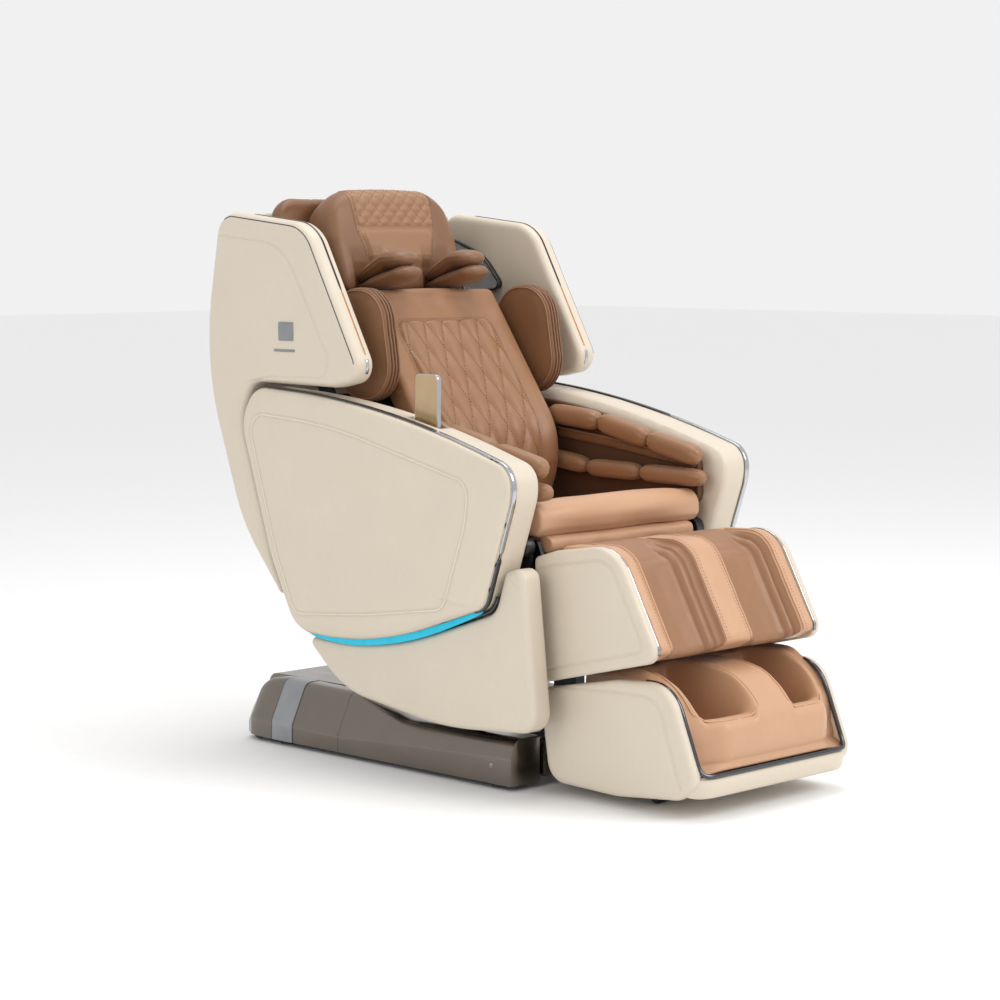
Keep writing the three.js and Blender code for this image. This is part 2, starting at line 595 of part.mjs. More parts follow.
function calfFrame() {
  const hinge = shinOf(...CALF_PIVOT);
  const parts = [box(-248, 248, -14, 14, 40, 66)];
  bothSides((side, sign) => {
    parts.push(barZ(sign * TUBE.x, 0, TUBE.z0, TUBE.z1, TUBE.out));
    const plate = [
      [-14, 30, 6], [16, 30, 6], [hinge.y + 18, hinge.z - 8, 14], [hinge.y + 4, hinge.z + 14, 10],
      [hinge.y - 15, hinge.z + 8, 8], [6, 90, 30], [-14, 70, 6],
    ];
    const [p0, p1] = span(sign, 238, 248);
    parts.push(slab(plate, [[p0, 0], [p1, 0]], { divisions: 1 }));
  });
  const holes = SIDES.flatMap(([, sign]) => [
    barZ(sign * TUBE.x, 0, TUBE.z0 - 2, TUBE.z1 + 2, TUBE.bore),
    barX(...span(sign, 236, 250), hinge.y, hinge.z, 11),
  ]);
  return cut(join(...parts), ...holes);
}
add('calf_frame', calfFrame(), STEEL, shin);

const CASTOR = { x0: 116, x1: 164, y: -500, z: 12, r: 12, bore: 5, axle: 4 };
const FOOT_WELL_X = { in: 57, out: 224 };
const footHalf = X_FOOT - GAP;

// The rods are drawn upright in the slide frame and set into the shell's shelf.
function footShell() {
  const parts = [
    slab(FOOT_TRAY, [[-X_FOOT - 4, 0], [X_FOOT + 4, 0]], { divisions: 1 }),
    box(-X_FOOT - 4, X_FOOT + 4, -386, -262, 128, 140),
  ];
  bothSides((side, sign) => {
    parts.push(slab(FOOT_SIDE, onSide(sign, [
      [X_FOOT, 0], [X_FOOT_OUT - 8, 0], [X_FOOT_OUT, 8],
    ])));
    const rod = barZ(sign * TUBE.x, 0, -216, 84, TUBE.rod);
    parts.push(rod.rotateX(-SHIN_SLOPE).translate(0, shin.position.y, shin.position.z));
    parts.push(barX(...span(sign, CASTOR.x0 - 5, CASTOR.x1 + 5), CASTOR.y, CASTOR.z, CASTOR.axle));
    [CASTOR.x0 - 5, CASTOR.x1 + 1].forEach((x) => {
      parts.push(box(...span(sign, x, x + 4), CASTOR.y - 9, CASTOR.y + 9, 4, 36));
    });
  });
  return join(...parts);
}
add('foot_shell', footShell(), UPHOLSTERY);

add('foot_pad', join(
  slab(FOOT_WELL, [[-footHalf, 0], [footHalf, 0]]),
  slab(FOOT_MIDDLE, [[-FOOT_WELL_X.in, 0], [FOOT_WELL_X.in, 0]]),
  ...SIDES.map(([, sign]) => slab(FOOT_EDGE, onSide(sign, [[FOOT_WELL_X.out, 0], [footHalf, 0]]))),
), LIGHT_LEATHER);

const SOLE_ROLLER = { y: -450, z: 66, core: 9, lobe: 22, half: 222 };
const lobes = SIDES.flatMap(([, sign]) => [80, 125, 170].map((x) => (
  barX(...span(sign, x, x + 24), SOLE_ROLLER.y, SOLE_ROLLER.z, SOLE_ROLLER.lobe, 12))));
add('sole_roller', join(
  barX(-SOLE_ROLLER.half, SOLE_ROLLER.half, SOLE_ROLLER.y, SOLE_ROLLER.z, SOLE_ROLLER.core, 12),
  ...lobes,
), BLACK);

bothSides((side, sign) => {
  const [c0, c1] = span(sign, CASTOR.x0, CASTOR.x1);
  const roller = barX(c0, c1, CASTOR.y, CASTOR.z, CASTOR.r, 20);
  const bore = barX(c0 - 1, c1 + 1, CASTOR.y, CASTOR.z, CASTOR.bore);
  add(`foot_castor_${side}`, cut(roller, bore), BLACK);
});

export default chair;
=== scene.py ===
"""A reclining massage chair: upholstered shells, quilted leather and trims around its CAD frame."""

import math

import bmesh
import bpy
import numpy as np
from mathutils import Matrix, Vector, geometry


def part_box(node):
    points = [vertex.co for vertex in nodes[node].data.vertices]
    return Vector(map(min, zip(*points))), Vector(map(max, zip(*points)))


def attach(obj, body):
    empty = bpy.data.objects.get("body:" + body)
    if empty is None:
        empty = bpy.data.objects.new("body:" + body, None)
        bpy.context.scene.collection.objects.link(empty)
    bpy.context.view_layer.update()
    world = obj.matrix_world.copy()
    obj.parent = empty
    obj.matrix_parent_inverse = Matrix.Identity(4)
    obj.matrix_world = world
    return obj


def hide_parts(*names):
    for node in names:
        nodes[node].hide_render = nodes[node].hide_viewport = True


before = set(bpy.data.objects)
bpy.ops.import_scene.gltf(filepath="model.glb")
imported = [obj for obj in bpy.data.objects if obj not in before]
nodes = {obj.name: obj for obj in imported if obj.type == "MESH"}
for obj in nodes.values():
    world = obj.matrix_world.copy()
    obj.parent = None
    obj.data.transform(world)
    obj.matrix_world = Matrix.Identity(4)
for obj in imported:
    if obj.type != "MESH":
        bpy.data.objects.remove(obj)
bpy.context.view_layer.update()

MM = 0.001
SIDES = (("left", -1), ("right", 1))


# ---- Camera ------------------------------------------------------------------------------
CAMERA_AT = (-4.268, -4.114, 1.178)
CAMERA_TURN = math.radians(-45.21)
CAMERA_TILT = math.radians(5.637)
CAMERA_LENS = 95.35

camera_data = bpy.data.cameras.new("camera")
camera_data.lens = CAMERA_LENS
camera_data.sensor_width = 36
camera = bpy.data.objects.new("camera", camera_data)
camera.location = CAMERA_AT
camera.rotation_euler = (math.pi / 2 - CAMERA_TILT, 0, CAMERA_TURN)
bpy.context.collection.objects.link(camera)
bpy.context.scene.camera = camera


# ---- Side outlines, in millimetres: [y, z, radius of the round] --------------------------
ARM = [
    [-291, 703, 52], [-292, 640, 130], [-212, 405, 45], [140, 286, 1000], [382, 298, 80],
    [468, 460, 400], [571, 765, 90], [526, 843, 60], [95, 820, 2600],
]
SHELL = [
    [160, 872, 42], [262, 850, 60], [538, 853, 42], [579, 766, 115], [477, 464, 400],
    [437, 376, 3], [450, 374, 3], [582, 527, 400], [716, 896, 600], [652, 1243, 60],
    [349, 1210, 100],
]
LOWER_PANEL = [
    [-340, 150, 45], [-60, 128, 900], [262, 172, 250], [396, 286, 14], [140, 274, 1000],
    [-219, 394, 50], [-247, 482, 12], [-302, 500, 25],
]
CALF_SIDE = [
    [-250, 508, 10], [-312, 527, 60], [-476, 552, 90], [-602, 322, 30], [-248, 236, 12],
]
BACK_CUSHION = [
    [165, 572, 22], [225, 572, 15], [176, 690, 110], [418, 1034, 25], [364, 1068, 25],
    [112, 705, 180],
]
HEAD_CUSHION = [
    [436, 1108, 30], [500, 1092, 30], [572, 1130, 40], [572, 1292, 50], [488, 1292, 40],
]
HEAD_REST = [
    [580, 1120, 20], [628, 1120, 20], [616, 1210, 60], [616, 1272, 17], [580, 1272, 17],
]
SEAT_CUSHION = [
    [-258, 548, 24], [-188, 548, 3], [-188, 480, 12], [188, 480, 12], [188, 564, 24],
    [-110, 594, 200], [-258, 630, 38],
]
FRONT_ROLL = [[-262, 512, 14], [-200, 512, 5], [-200, 556, 5], [-262, 544, 14]]
LINING = [
    [-236, 690, 30], [-240, 590, 30], [-180, 560, 20], [200, 540, 20], [330, 560, 40],
    [440, 790, 30], [400, 812, 20], [90, 788, 1500],
]
SHOULDER = [[172, 814, 82], [350, 814, 82], [402, 1070, 84], [214, 1070, 84]]
GRILLE = [[428, 1058, 14], [560, 1046, 20], [632, 1186, 16], [500, 1140, 150]]
CALF_RIM = [
    [-312, 536, 20], [-476, 545, 80], [-592, 338, 14], [-540, 310, 8], [-440, 498, 60],
    [-300, 500, 8],
]
FOOT_TRAY = [
    [-252, 190, 2], [-280, 32, 44], [-470, 24, 200], [-680, 56, 8], [-676, 70, 3],
    [-470, 36, 200], [-290, 44, 36], [-264, 190, 2],
]
BACK_COVER = [
    [438, 392, 3], [452, 384, 3], [580, 530, 400], [713, 896, 600], [651, 1238, 8],
    [629, 1236, 8], [692, 896, 580], [562, 540, 400],
]


# ---- Outlines ----------------------------------------------------------------------------
def unit(v):
    """A direction of length 1."""
    return v / np.linalg.norm(v)


def turned(v):
    """A direction turned a quarter to its left."""
    return np.array([-v[1], v[0]])


def area(loop):
    """The area inside a loop, positive when it runs counter-clockwise."""
    u, v = loop[:, 0], loop[:, 1]
    return 0.5 * float(np.sum(u * np.roll(v, -1) - v * np.roll(u, -1)))


def run_lengths(line):
    """How far along an open line each of its points lies."""
    return np.concatenate([[0], np.cumsum(np.linalg.norm(np.diff(line, axis=0), axis=1))])


def nearest(line, point):
    """Which point of a line is nearest to one point."""
    return int(np.linalg.norm(line - np.asarray(point), axis=1).argmin())


def run_to(line, point):
    """How far along a line the nearest of its points to one point lies."""
    return float(run_lengths(line)[nearest(line, point)])


def resample(path, step, closed=True):
    """The same line as evenly spaced points."""
    path = np.asarray(path, float)
    line = np.vstack([path, path[:1]]) if closed else path
    along = run_lengths(line)
    count = max(8 if closed else 2, round(along[-1] / step))
    at = np.linspace(0, along[-1], count + 1)
    if closed:
        at = at[:-1]
    return np.stack([np.interp(at, along, line[:, k]) for k in range(line.shape[1])], 1)


def ordered(corners):
    """The corners counter-clockwise."""
    flat = np.array([c[:2] for c in corners], float)
    return corners if area(flat) > 0 else corners[::-1]


def outline(corners, step=8.0):
    """A closed outline through rounded corners."""
    corners = ordered(corners)
    flat = np.array([c[:2] for c in corners], float)
    points = []
    for i, (_, _, radius) in enumerate(corners):
        here = flat[i]
        before, after = unit(flat[i - 1] - here), unit(flat[(i + 1) % len(flat)] - here)
        half = math.acos(np.clip(before @ after, -1, 1)) / 2
        centre = here + unit(before + after) * radius / math.sin(half)
        reach = radius / math.tan(half)
        start, end = here + before * reach - centre, here + after * reach - centre
        first = math.atan2(start[1], start[0])
        turn = (math.atan2(end[1], end[0]) - first + math.pi) % (2 * math.pi) - math.pi
        count = max(3, int(abs(turn) * radius / min(step, 4)))
        for k in range(count + 1):
            angle = first + turn * k / count
            points.append(centre + radius * np.array([math.cos(angle), math.sin(angle)]))
    return resample(points, step)


def shrink(corners, by, least=10):
    """The corners of an outline that runs inside another, by a distance for each edge."""
    corners = ordered(corners)
    count = len(corners)
    by = [by] * count if np.isscalar(by) else by
    flat = np.array([c[:2] for c in corners], float)
    inner = []
    for i in range(count):
        edge_in, edge_out = unit(flat[i] - flat[i - 1]), unit(flat[(i + 1) % count] - flat[i])
        normals = np.array([turned(edge_in), turned(edge_out)])
        shifted = np.array([normals[0] @ flat[i] + by[i - 1], normals[1] @ flat[i] + by[i]])
        y, z = np.linalg.solve(normals, shifted)
        convex = edge_in[0] * edge_out[1] - edge_in[1] * edge_out[0] > 0
        change = (by[i - 1] + by[i]) / 2
        inner.append([y, z, max(corners[i][2] + (-change if convex else change), least)])
    return inner


def distance(points, line, closed=True):
    """How far each point is from a line of points."""
    a = line if closed else line[:-1]
    b = np.roll(line, -1, 0) if closed else line[1:]
    d = b - a
    best = np.full(len(points), 1e9)
    for start, way in zip(a, d):
        t = np.clip(((points - start) @ way) / max(way @ way, 1e-12), 0, 1)
        best = np.minimum(best, np.linalg.norm(points - start - t[:, None] * way, axis=1))
    return best


def inside(points, loop):
    """Which points lie inside a closed outline."""
    u, v = points[:, 0], points[:, 1]
    found = np.zeros(len(points), bool)
    for (u0, v0), (u1, v1) in zip(loop, np.roll(loop, -1, 0)):
        crosses = (v0 > v) != (v1 > v)
        at = (u1 - u0) * (v - v0) / ((v1 - v0) if v1 != v0 else 1e-9) + u0
        found ^= crosses & (u < at)
    return found


def beside(line, by, closed=True):
    """A line moved sideways, to its left."""
    if closed:
        way = np.roll(line, -1, 0) - np.roll(line, 1, 0)
    else:
        way = np.gradient(line, axis=0)
    way /= np.maximum(np.linalg.norm(way, axis=1), 1e-9)[:, None]
    return line + by * np.stack([-way[:, 1], way[:, 0]], 1)


def fill(loop, extra, spacing):
    """Triangles that fill a loop, through extra points and an even grid."""
    lo, hi = loop.min(0), loop.max(0)
    us, vs = np.arange(lo[0], hi[0], spacing), np.arange(lo[1], hi[1], spacing)
    grid = np.array([(u + (k % 2) * spacing / 2, v) for k, v in enumerate(vs) for u in us])
    grid = grid[inside(grid, loop)]
    keep = distance(grid, loop) > spacing * 0.5
    grid = grid[keep]
    if len(extra):
        extra = extra[inside(extra, loop)]
        extra = extra[distance(extra, loop) > 0.15]
        for chunk in np.array_split(extra, max(1, len(extra) // 200)):
            near = np.linalg.norm(grid[:, None] - chunk[None], axis=2).min(1)
            grid = grid[near > spacing * 0.5]
        points = np.vstack([loop, extra, grid])
    else:
        points = np.vstack([loop, grid])
    count = len(loop)
    edges = [(i, (i + 1) % count) for i in range(count)]
    found = geometry.delaunay_2d_cdt([Vector(p) for p in points], edges, [], 0, 1e-4)
    flat = np.array([tuple(v) for v in found[0]])
    triangles = np.array([f for f in found[2] if len(f) == 3])
    middle = flat[triangles].mean(1)
    triangles = triangles[inside(middle, loop)]
    rank = {}
    for new, olds in enumerate(found[3]):
        for old in olds:
            rank[old] = new
    border = [rank[i] for i in range(count)]
    used = np.unique(np.concatenate([triangles.ravel(), border]))
    index = {old: new for new, old in enumerate(used)}
    triangles = np.vectorize(index.get)(triangles)
    border = [index[b] for b in border]
    return flat[used], triangles, border


# ---- Meshes ------------------------------------------------------------------------------
def make(name, points, faces, looks, tints=None, closed=True, sharp=None):
    """A mesh object from points in millimetres."""
    mesh = bpy.data.meshes.new(name)
    mesh.from_pydata([tuple(p) for p in np.asarray(points) * MM], [], [list(f) for f in faces])
    looks = looks if isinstance(looks, (list, tuple)) else [looks]
    for look in looks:
        mesh.materials.append(look)
    if tints is not None:
        mesh.polygons.foreach_set("material_index", np.asarray(tints, np.int32))
    shape = bmesh.new()
    shape.from_mesh(mesh)
    if closed:
        bmesh.ops.recalc_face_normals(shape, faces=shape.faces)
    for face in shape.faces:
        face.smooth = True
    if sharp is not None:
        for edge in shape.edges:
            if len(edge.link_faces) == 2 and edge.calc_face_angle(0) > math.radians(sharp):
                edge.smooth = False
    shape.to_mesh(mesh)
    shape.free()
    piece = bpy.data.objects.new(name, mesh)
    bpy.context.collection.objects.link(piece)
    return piece


def merge(parts):
    """Several (points, faces, tint) as one."""
    points, faces, tints, base = [], [], [], 0
    for part_points, part_faces, tint in parts:
        points.append(np.asarray(part_points, float))
        faces += [[base + i for i in f] for f in part_faces]
        tints += [tint] * len(part_faces)
        base += len(part_points)
    return np.vstack(points), faces, tints


def rings(loops, closed_end=True):
    """Faces between rings of equal length, with a fan at each end."""
    count, size = len(loops), len(loops[0])
    points = np.vstack(loops)
    faces = []
    for k in range(count - 1):
        for i in range(size):
            j = (i + 1) % size
            faces.append([k * size + i, k * size + j, (k + 1) * size + j, (k + 1) * size + i])
    if closed_end:
        faces.append(list(range(size))[::-1])
        faces.append([(count - 1) * size + i for i in range(size)])
    return points, faces


def frames_along(path, closed, up):
    """Tangents and two side directions along a path."""
    if closed:
        way = np.roll(path, -1, 0) - np.roll(path, 1, 0)
    else:
        way = np.gradient(path, axis=0)
    way /= np.maximum(np.linalg.norm(way, axis=1), 1e-9)[:, None]
    across = np.cross(way, np.asarray(up, float))
    across /= np.maximum(np.linalg.norm(across, axis=1), 1e-9)[:, None]
    return way, across, np.cross(across, way)


def bar(path, wide, thick, up=(1, 0, 0), closed=False, sides=12, power=2.6, taper=0.0):
    """A bar of rounded section swept along a path: wide along `up`, thick across it."""
    path = np.asarray(path, float)
    _, across, along_up = frames_along(path, closed, up)
    a, b = squared(circle(sides), wide, thick, 2 / power, 2 / power)
    loops = []
    for k in range(len(path)):
        t = k / max(1, len(path) - 1)
        grow = 1.0
        if taper and not closed:
            grow = min(1.0, math.sqrt(min(1, (min(t, 1 - t) + 0.002) / taper)))
        ring = path[k] + grow * (a[:, None] * along_up[k] + b[:, None] * across[k])
        loops.append(ring)
    if not closed:
        return rings(loops)
    points, faces = rings(loops, closed_end=False)
    size, last = sides, (len(loops) - 1) * sides
    for i in range(size):
        j = (i + 1) % size
        faces.append([last + i, last + j, j, i])
    return points, faces


def circle(sides):
    """The angles of evenly spaced points round a circle."""
    return np.arange(sides) * 2 * math.pi / sides


def squared(angles, wide, tall, wide_power, tall_power):
    """The two coordinates of an oval whose corners fill out as the powers fall."""
    c, s = np.cos(angles), np.sin(angles)
    return (np.sign(c) * np.abs(c) ** wide_power * wide / 2,
            np.sign(s) * np.abs(s) ** tall_power * tall / 2)


def in_side(line, x):
    """Points [y, z] as points in space at one x."""
    line = np.asarray(line, float)
    return np.column_stack([np.full(len(line), float(x)), line[:, 0], line[:, 1]])


STITCH = 5.0
STITCH_GAP = 2.6


def stitches(path, normals, radius=0.55, lift=0.25):
    """Thread stitches along a path, each a slim pointed grain, as (points, faces)."""
    path, normals = np.asarray(path, float), np.asarray(normals, float)
    along = run_lengths(path)
    starts = np.arange(2, along[-1] - STITCH, STITCH + STITCH_GAP)
    points, faces = [], []
    for start in starts:
        a, b = (np.array([np.interp(v, along, path[:, k]) for k in range(3)])
                for v in (start, start + STITCH))
        n = unit(np.array([np.interp(start, along, normals[:, k]) for k in range(3)]))
        side = np.cross(n, unit(b - a))
        mid = (a + b) / 2 + n * (radius + lift)
        base = len(points)
        points += [a - n * 0.3, mid + side * radius, mid + n * radius, mid - side * radius,
                   mid - n * radius, b - n * 0.3]
        for k in range(4):
            m = (k + 1) % 4
            faces += [[base, base + 1 + k, base + 1 + m], [base + 5, base + 1 + m, base + 1 + k]]
    return np.array(points), faces


def smooth_step(t):
    """0 up to 0, 1 from 1, and a smooth rise between."""
    t = np.clip(t, 0, 1)
    return t * t * (3 - 2 * t)


def bell(d, width):
    """1 at 0, falling to nearly nothing at twice the width."""
    return np.exp(-(d / width) ** 2)


def quarter_fall(t):
    """1 at 0, falling round a quarter circle to 0 at 1."""
    return 1 - np.sqrt(np.maximum(0, 1 - (1 - np.clip(t, 0, 1)) ** 2))


def smoothed(path, times):
    """The same line with its corners eased and its ends kept."""
    for _ in range(times):
        path[1:-1] = (path[:-2] + 2 * path[1:-1] + path[2:]) / 4
    return path


def wave_noise(points, size, seed):
    """Smooth repeatable noise from -1 to 1, about one bump per `size` millimetres."""
    chance = np.random.default_rng(seed)
    total = np.zeros(len(points))
    for _ in range(7):
        way = chance.normal(size=points.shape[1])
        way *= 2 * math.pi / size / np.linalg.norm(way) * chance.uniform(0.6, 1.5)
        total += np.sin(points @ way + chance.uniform(0, 6.28))
    return total / 4.0


# ---- Upholstered side panels -------------------------------------------------------------
class Plate:
    """A panel between two depths from the middle plane, with a rounded rim and seams."""

    def __init__(self, corners, inner, outer, sign, edge=8, back_edge=4, spacing=13, step=7,
                 relief=None, seams=(), seam_depth=1.6, seam_width=2.2):
        self.loop = outline(corners, step)
        self.inner, self.outer, self.sign = inner, outer, sign
        self.edge, self.back_edge, self.relief = edge, back_edge, relief
        self.seams = [(resample(line, 5, shut), shut) for line, shut in seams]
        self.seam_depth, self.seam_width = seam_depth, seam_width
        self.spacing = spacing
        self.way = 1 if outer > inner else -1

    def depth(self, flat):
        """How far the outer face stands from the middle plane at points [y, z]."""
        d = distance(flat, self.loop)
        height = -self.edge * quarter_fall(d / self.edge)
        if self.relief is not None:
            height = height + self.relief(flat, d)
        for line, shut in self.seams:
            near = distance(flat, line, shut)
            height = height - self.seam_depth * bell(near, self.seam_width)
        return self.outer + self.way * height

    def build(self):
        rows = [beside(self.loop, self.edge * k) for k in (0.04, 0.15, 0.34, 0.6, 1.0, 1.6)]
        for line, shut in self.seams:
            rows += [beside(line, by, shut) for by in (-5, -2.4, -1.1, 0, 1.1, 2.4, 5)]
        flat, triangles, border = fill(self.loop, np.vstack(rows), self.spacing)
        front = self.depth(flat)
        d = distance(flat, self.loop)
        back = self.inner + self.way * self.back_edge * quarter_fall(d / self.back_edge)
        count = len(flat)
        points = np.vstack([
            np.column_stack([self.sign * front, flat]), np.column_stack([self.sign * back, flat]),
        ])
        faces = [list(t) for t in triangles] + [[count + i for i in t[::-1]] for t in triangles]
        size = len(border)
        levels = max(1, int(abs(front[border].mean() - back[border].mean()) / 9))
        rims = [list(border)]
        extra = []
        for k in range(1, levels):
            t = k / levels
            w = front[border] * (1 - t) + back[border] * t
            rims.append(list(range(len(points) + len(extra), len(points) + len(extra) + size)))
            extra += [(self.sign * w[i], *flat[border[i]]) for i in range(size)]
        if extra:
            points = np.vstack([points, extra])
        rims.append([count + b for b in border])
        for a, b in zip(rims, rims[1:]):
            for i in range(size):
                j = (i + 1) % size
                faces.append([a[i], a[j], b[j], b[i]])
        return points, faces

    def on(self, line, lift=0.0):
        """Points in space on the outer face, over a line of [y, z]."""
        return np.column_stack([self.sign * (self.depth(line) + self.way * lift), line])

    def normals(self, line):
        return np.tile([float(self.sign * self.way), 0, 0], (len(line), 1))

    def sewn(self, line, shut, by=3.2):
        """Thread beside a seam, and nothing in the seam itself."""
        row = resample(beside(resample(line, 5, shut), by, shut), 4, shut)
        return stitches(self.on(row), self.normals(row), lift=0.05)


# ---- Pads lofted across the chair --------------------------------------------------------
class Pad:
    """A closed pad: a side outline carried across X, rounded at both ends and reshaped."""

    def __init__(self, corners, x0, x1, edge=20, step=7, across=8, shape=None, dome=4,
                 stations=None, steer=None):
        self.loop = outline(corners, step)
        self.x0, self.x1, self.edge, self.shape, self.dome = x0, x1, edge, shape, dome
        self.lengths = run_lengths(self.loop)
        self.total = self.lengths[-1] + np.linalg.norm(self.loop[0] - self.loop[-1])
        self.out = beside(self.loop, -1) - self.loop
        if steer is not None:
            self.out = steer(self.lengths, self.out)
        turns = [edge * (1 - math.cos(a)) for a in np.linspace(0, math.pi / 2, 7)]
        middle = np.linspace(x0 + edge, x1 - edge, max(2, round((x1 - x0 - 2 * edge) / across)))
        middle = middle if stations is None else np.union1d(middle, stations)
        self.xs = np.concatenate([[x0 + t for t in turns[:-1]], middle,
                                  [x1 - t for t in turns[:-1]][::-1]])
        self.grid = np.array([self.ring(x) for x in self.xs])

    def ring(self, x):
        gap = min(x - self.x0, self.x1 - x)
        r = self.edge
        pull = r - math.sqrt(max(0, r * r - (r - min(gap, r)) ** 2))
        flat = self.loop - self.out * pull
        if self.shape is not None:
            push = self.shape(np.full(len(flat), float(x)), self.lengths, self.loop)
            fade = smooth_step(min(1, gap / r)) if r else 1
            flat = flat + self.out * (push * fade)[:, None]
        return in_side(flat, x)

    def build(self):
        size = len(self.loop)
        points, faces = rings(list(self.grid), closed_end=False)
        base = [(0, -1, self.x0), (len(self.xs) - 1, 1, self.x1)]
        for k, way, x in base:
            ring = self.grid[k][:, 1:]
            flat, triangles, border = fill(ring, np.zeros((0, 2)), 12)
            d = distance(flat, ring)
            depth = x + way * self.dome * (1 - np.exp(-d / 18.0))
            index = {}
            start = len(points)
            new = []
            for i, p in enumerate(flat):
                if i in border:
                    index[i] = k * size + border.index(i)
                else:
                    index[i] = start + len(new)
                    new.append((depth[i], *p))
            if new:
                points = np.vstack([points, new])
            faces += [[index[i] for i in (t[::-1] if way < 0 else t)] for t in triangles]
        return points, faces

    def along(self, point):
        """Where on the outline the nearest point to [y, z] lies."""
        return run_to(self.loop, point)

    def on(self, xs, ss):
        """Points in space on the pad, and the outward directions there."""
        xs, ss = np.asarray(xs, float), np.asarray(ss, float) % self.total
        i = np.clip(np.searchsorted(self.xs, xs) - 1, 0, len(self.xs) - 2)
        tx = (xs - self.xs[i]) / (self.xs[i + 1] - self.xs[i])
        ends = np.append(self.lengths, self.total)
        j = np.clip(np.searchsorted(ends, ss) - 1, 0, len(self.loop) - 1)
        ts = (ss - ends[j]) / (ends[j + 1] - ends[j])
        k = (j + 1) % len(self.loop)
        a = self.grid[i, j] * (1 - ts)[:, None] + self.grid[i, k] * ts[:, None]
        b = self.grid[i + 1, j] * (1 - ts)[:, None] + self.grid[i + 1, k] * ts[:, None]
        normal = np.column_stack([np.zeros(len(xs)), self.out[j]])
        return a * (1 - tx)[:, None] + b * tx[:, None], normal


# ---- Materials ---------------------------------------------------------------------------
def srgb(red, green, blue):
    """A linear colour from 0 to 255 steps."""
    steps = [c / 255 for c in (red, green, blue)]
    return tuple(c / 12.92 if c <= 0.04045 else ((c + 0.055) / 1.055) ** 2.4 for c in steps)


def shade(colour, by):
    """A colour made lighter or darker."""
    return tuple(min(1.0, c * by) for c in colour)


def new_material(name, rough, metal):
    """An empty look, with the nodes that the others build on."""
    material = bpy.data.materials.new(name)
    material.use_nodes = True
    tree = material.node_tree
    shader = tree.nodes["Principled BSDF"]
    shader.inputs["Metallic"].default_value = metal
    shader.inputs["Roughness"].default_value = rough
    place = tree.nodes.new("ShaderNodeTexCoord").outputs["Object"]
    return material, tree, shader, place


def noise(tree, place, scale, detail=4.0, stretch=None):
    """A noise value over the piece, at so many waves a metre."""
    if stretch is not None:
        mapping = tree.nodes.new("ShaderNodeMapping")
        mapping.inputs["Scale"].default_value = stretch
        tree.links.new(place, mapping.inputs["Vector"])
        place = mapping.outputs["Vector"]
    texture = tree.nodes.new("ShaderNodeTexNoise")
    texture.inputs["Scale"].default_value = scale
    texture.inputs["Detail"].default_value = detail
    tree.links.new(place, texture.inputs["Vector"])
    return texture.outputs["Fac"]


def spread(tree, value, low, high):
    """The middle of a noise value stretched over a range."""
    ranged = tree.nodes.new("ShaderNodeMapRange")
    ranged.inputs["From Min"].default_value = 0.3
    ranged.inputs["From Max"].default_value = 0.7
    ranged.inputs["To Min"].default_value = low
    ranged.inputs["To Max"].default_value = high
    tree.links.new(value, ranged.inputs["Value"])
    return ranged.outputs["Result"]


def blended(tree, amount, first, second):
    """One colour run into another by an amount."""
    mix = tree.nodes.new("ShaderNodeMix")
    mix.data_type = "RGBA"
    tree.links.new(amount, mix.inputs["Factor"])
    for socket, colour in ((mix.inputs["A"], first), (mix.inputs["B"], second)):
        if isinstance(colour, tuple):
            socket.default_value = (*colour, 1)
        else:
            tree.links.new(colour, socket)
    return mix.outputs["Result"]


def bump(tree, shader, heights):
    """Stacked bumps from (height socket, strength, distance)."""
    normal = None
    for height, strength, distance_m in heights:
        node = tree.nodes.new("ShaderNodeBump")
        node.inputs["Strength"].default_value = strength
        node.inputs["Distance"].default_value = distance_m
        tree.links.new(height, node.inputs["Height"])
        if normal is not None:
            tree.links.new(normal, node.inputs["Normal"])
        normal = node.outputs["Normal"]
    tree.links.new(normal, shader.inputs["Normal"])


def leather(name, colour, rough=0.45, tone=0.09, grain=520, sheen=0.12, creases=0.25):
    """Grained leather: pebbled cells, soft folds, uneven dye, and paler worn edges."""
    material, tree, shader, place = new_material(name, rough, 0)
    cells = tree.nodes.new("ShaderNodeTexVoronoi")
    cells.feature = "DISTANCE_TO_EDGE"
    cells.inputs["Scale"].default_value = grain
    tree.links.new(place, cells.inputs["Vector"])
    dye = spread(tree, noise(tree, place, 9, 5), 0, 1)
    fine = spread(tree, noise(tree, place, 70, 3), 0, 1)
    body = blended(tree, dye, shade(colour, 1 - tone), shade(colour, 1 + tone * 0.6))
    flecked = blended(tree, fine, body, shade(colour, 1 - tone * 0.4))
    worn = tree.nodes.new("ShaderNodeMapRange")
    worn.inputs["From Min"].default_value = 0.53
    worn.inputs["From Max"].default_value = 0.62
    worn.inputs["To Max"].default_value = 0.35
    tree.links.new(tree.nodes.new("ShaderNodeNewGeometry").outputs["Pointiness"],
                   worn.inputs["Value"])
    final = blended(tree, worn.outputs["Result"], flecked, shade(colour, 1.25))
    tree.links.new(final, shader.inputs["Base Color"])
    tree.links.new(spread(tree, noise(tree, place, 24, 4), rough - 0.06, rough + 0.07),
                   shader.inputs["Roughness"])
    shader.inputs["Sheen Weight"].default_value = sheen
    shader.inputs["Sheen Roughness"].default_value = 0.4
    folds = noise(tree, place, 34, 3, stretch=(1.0, 2.2, 1.4))
    bump(tree, shader, [(folds, creases, 0.0016), (cells.outputs["Distance"], 0.28, 0.0005)])
    return material


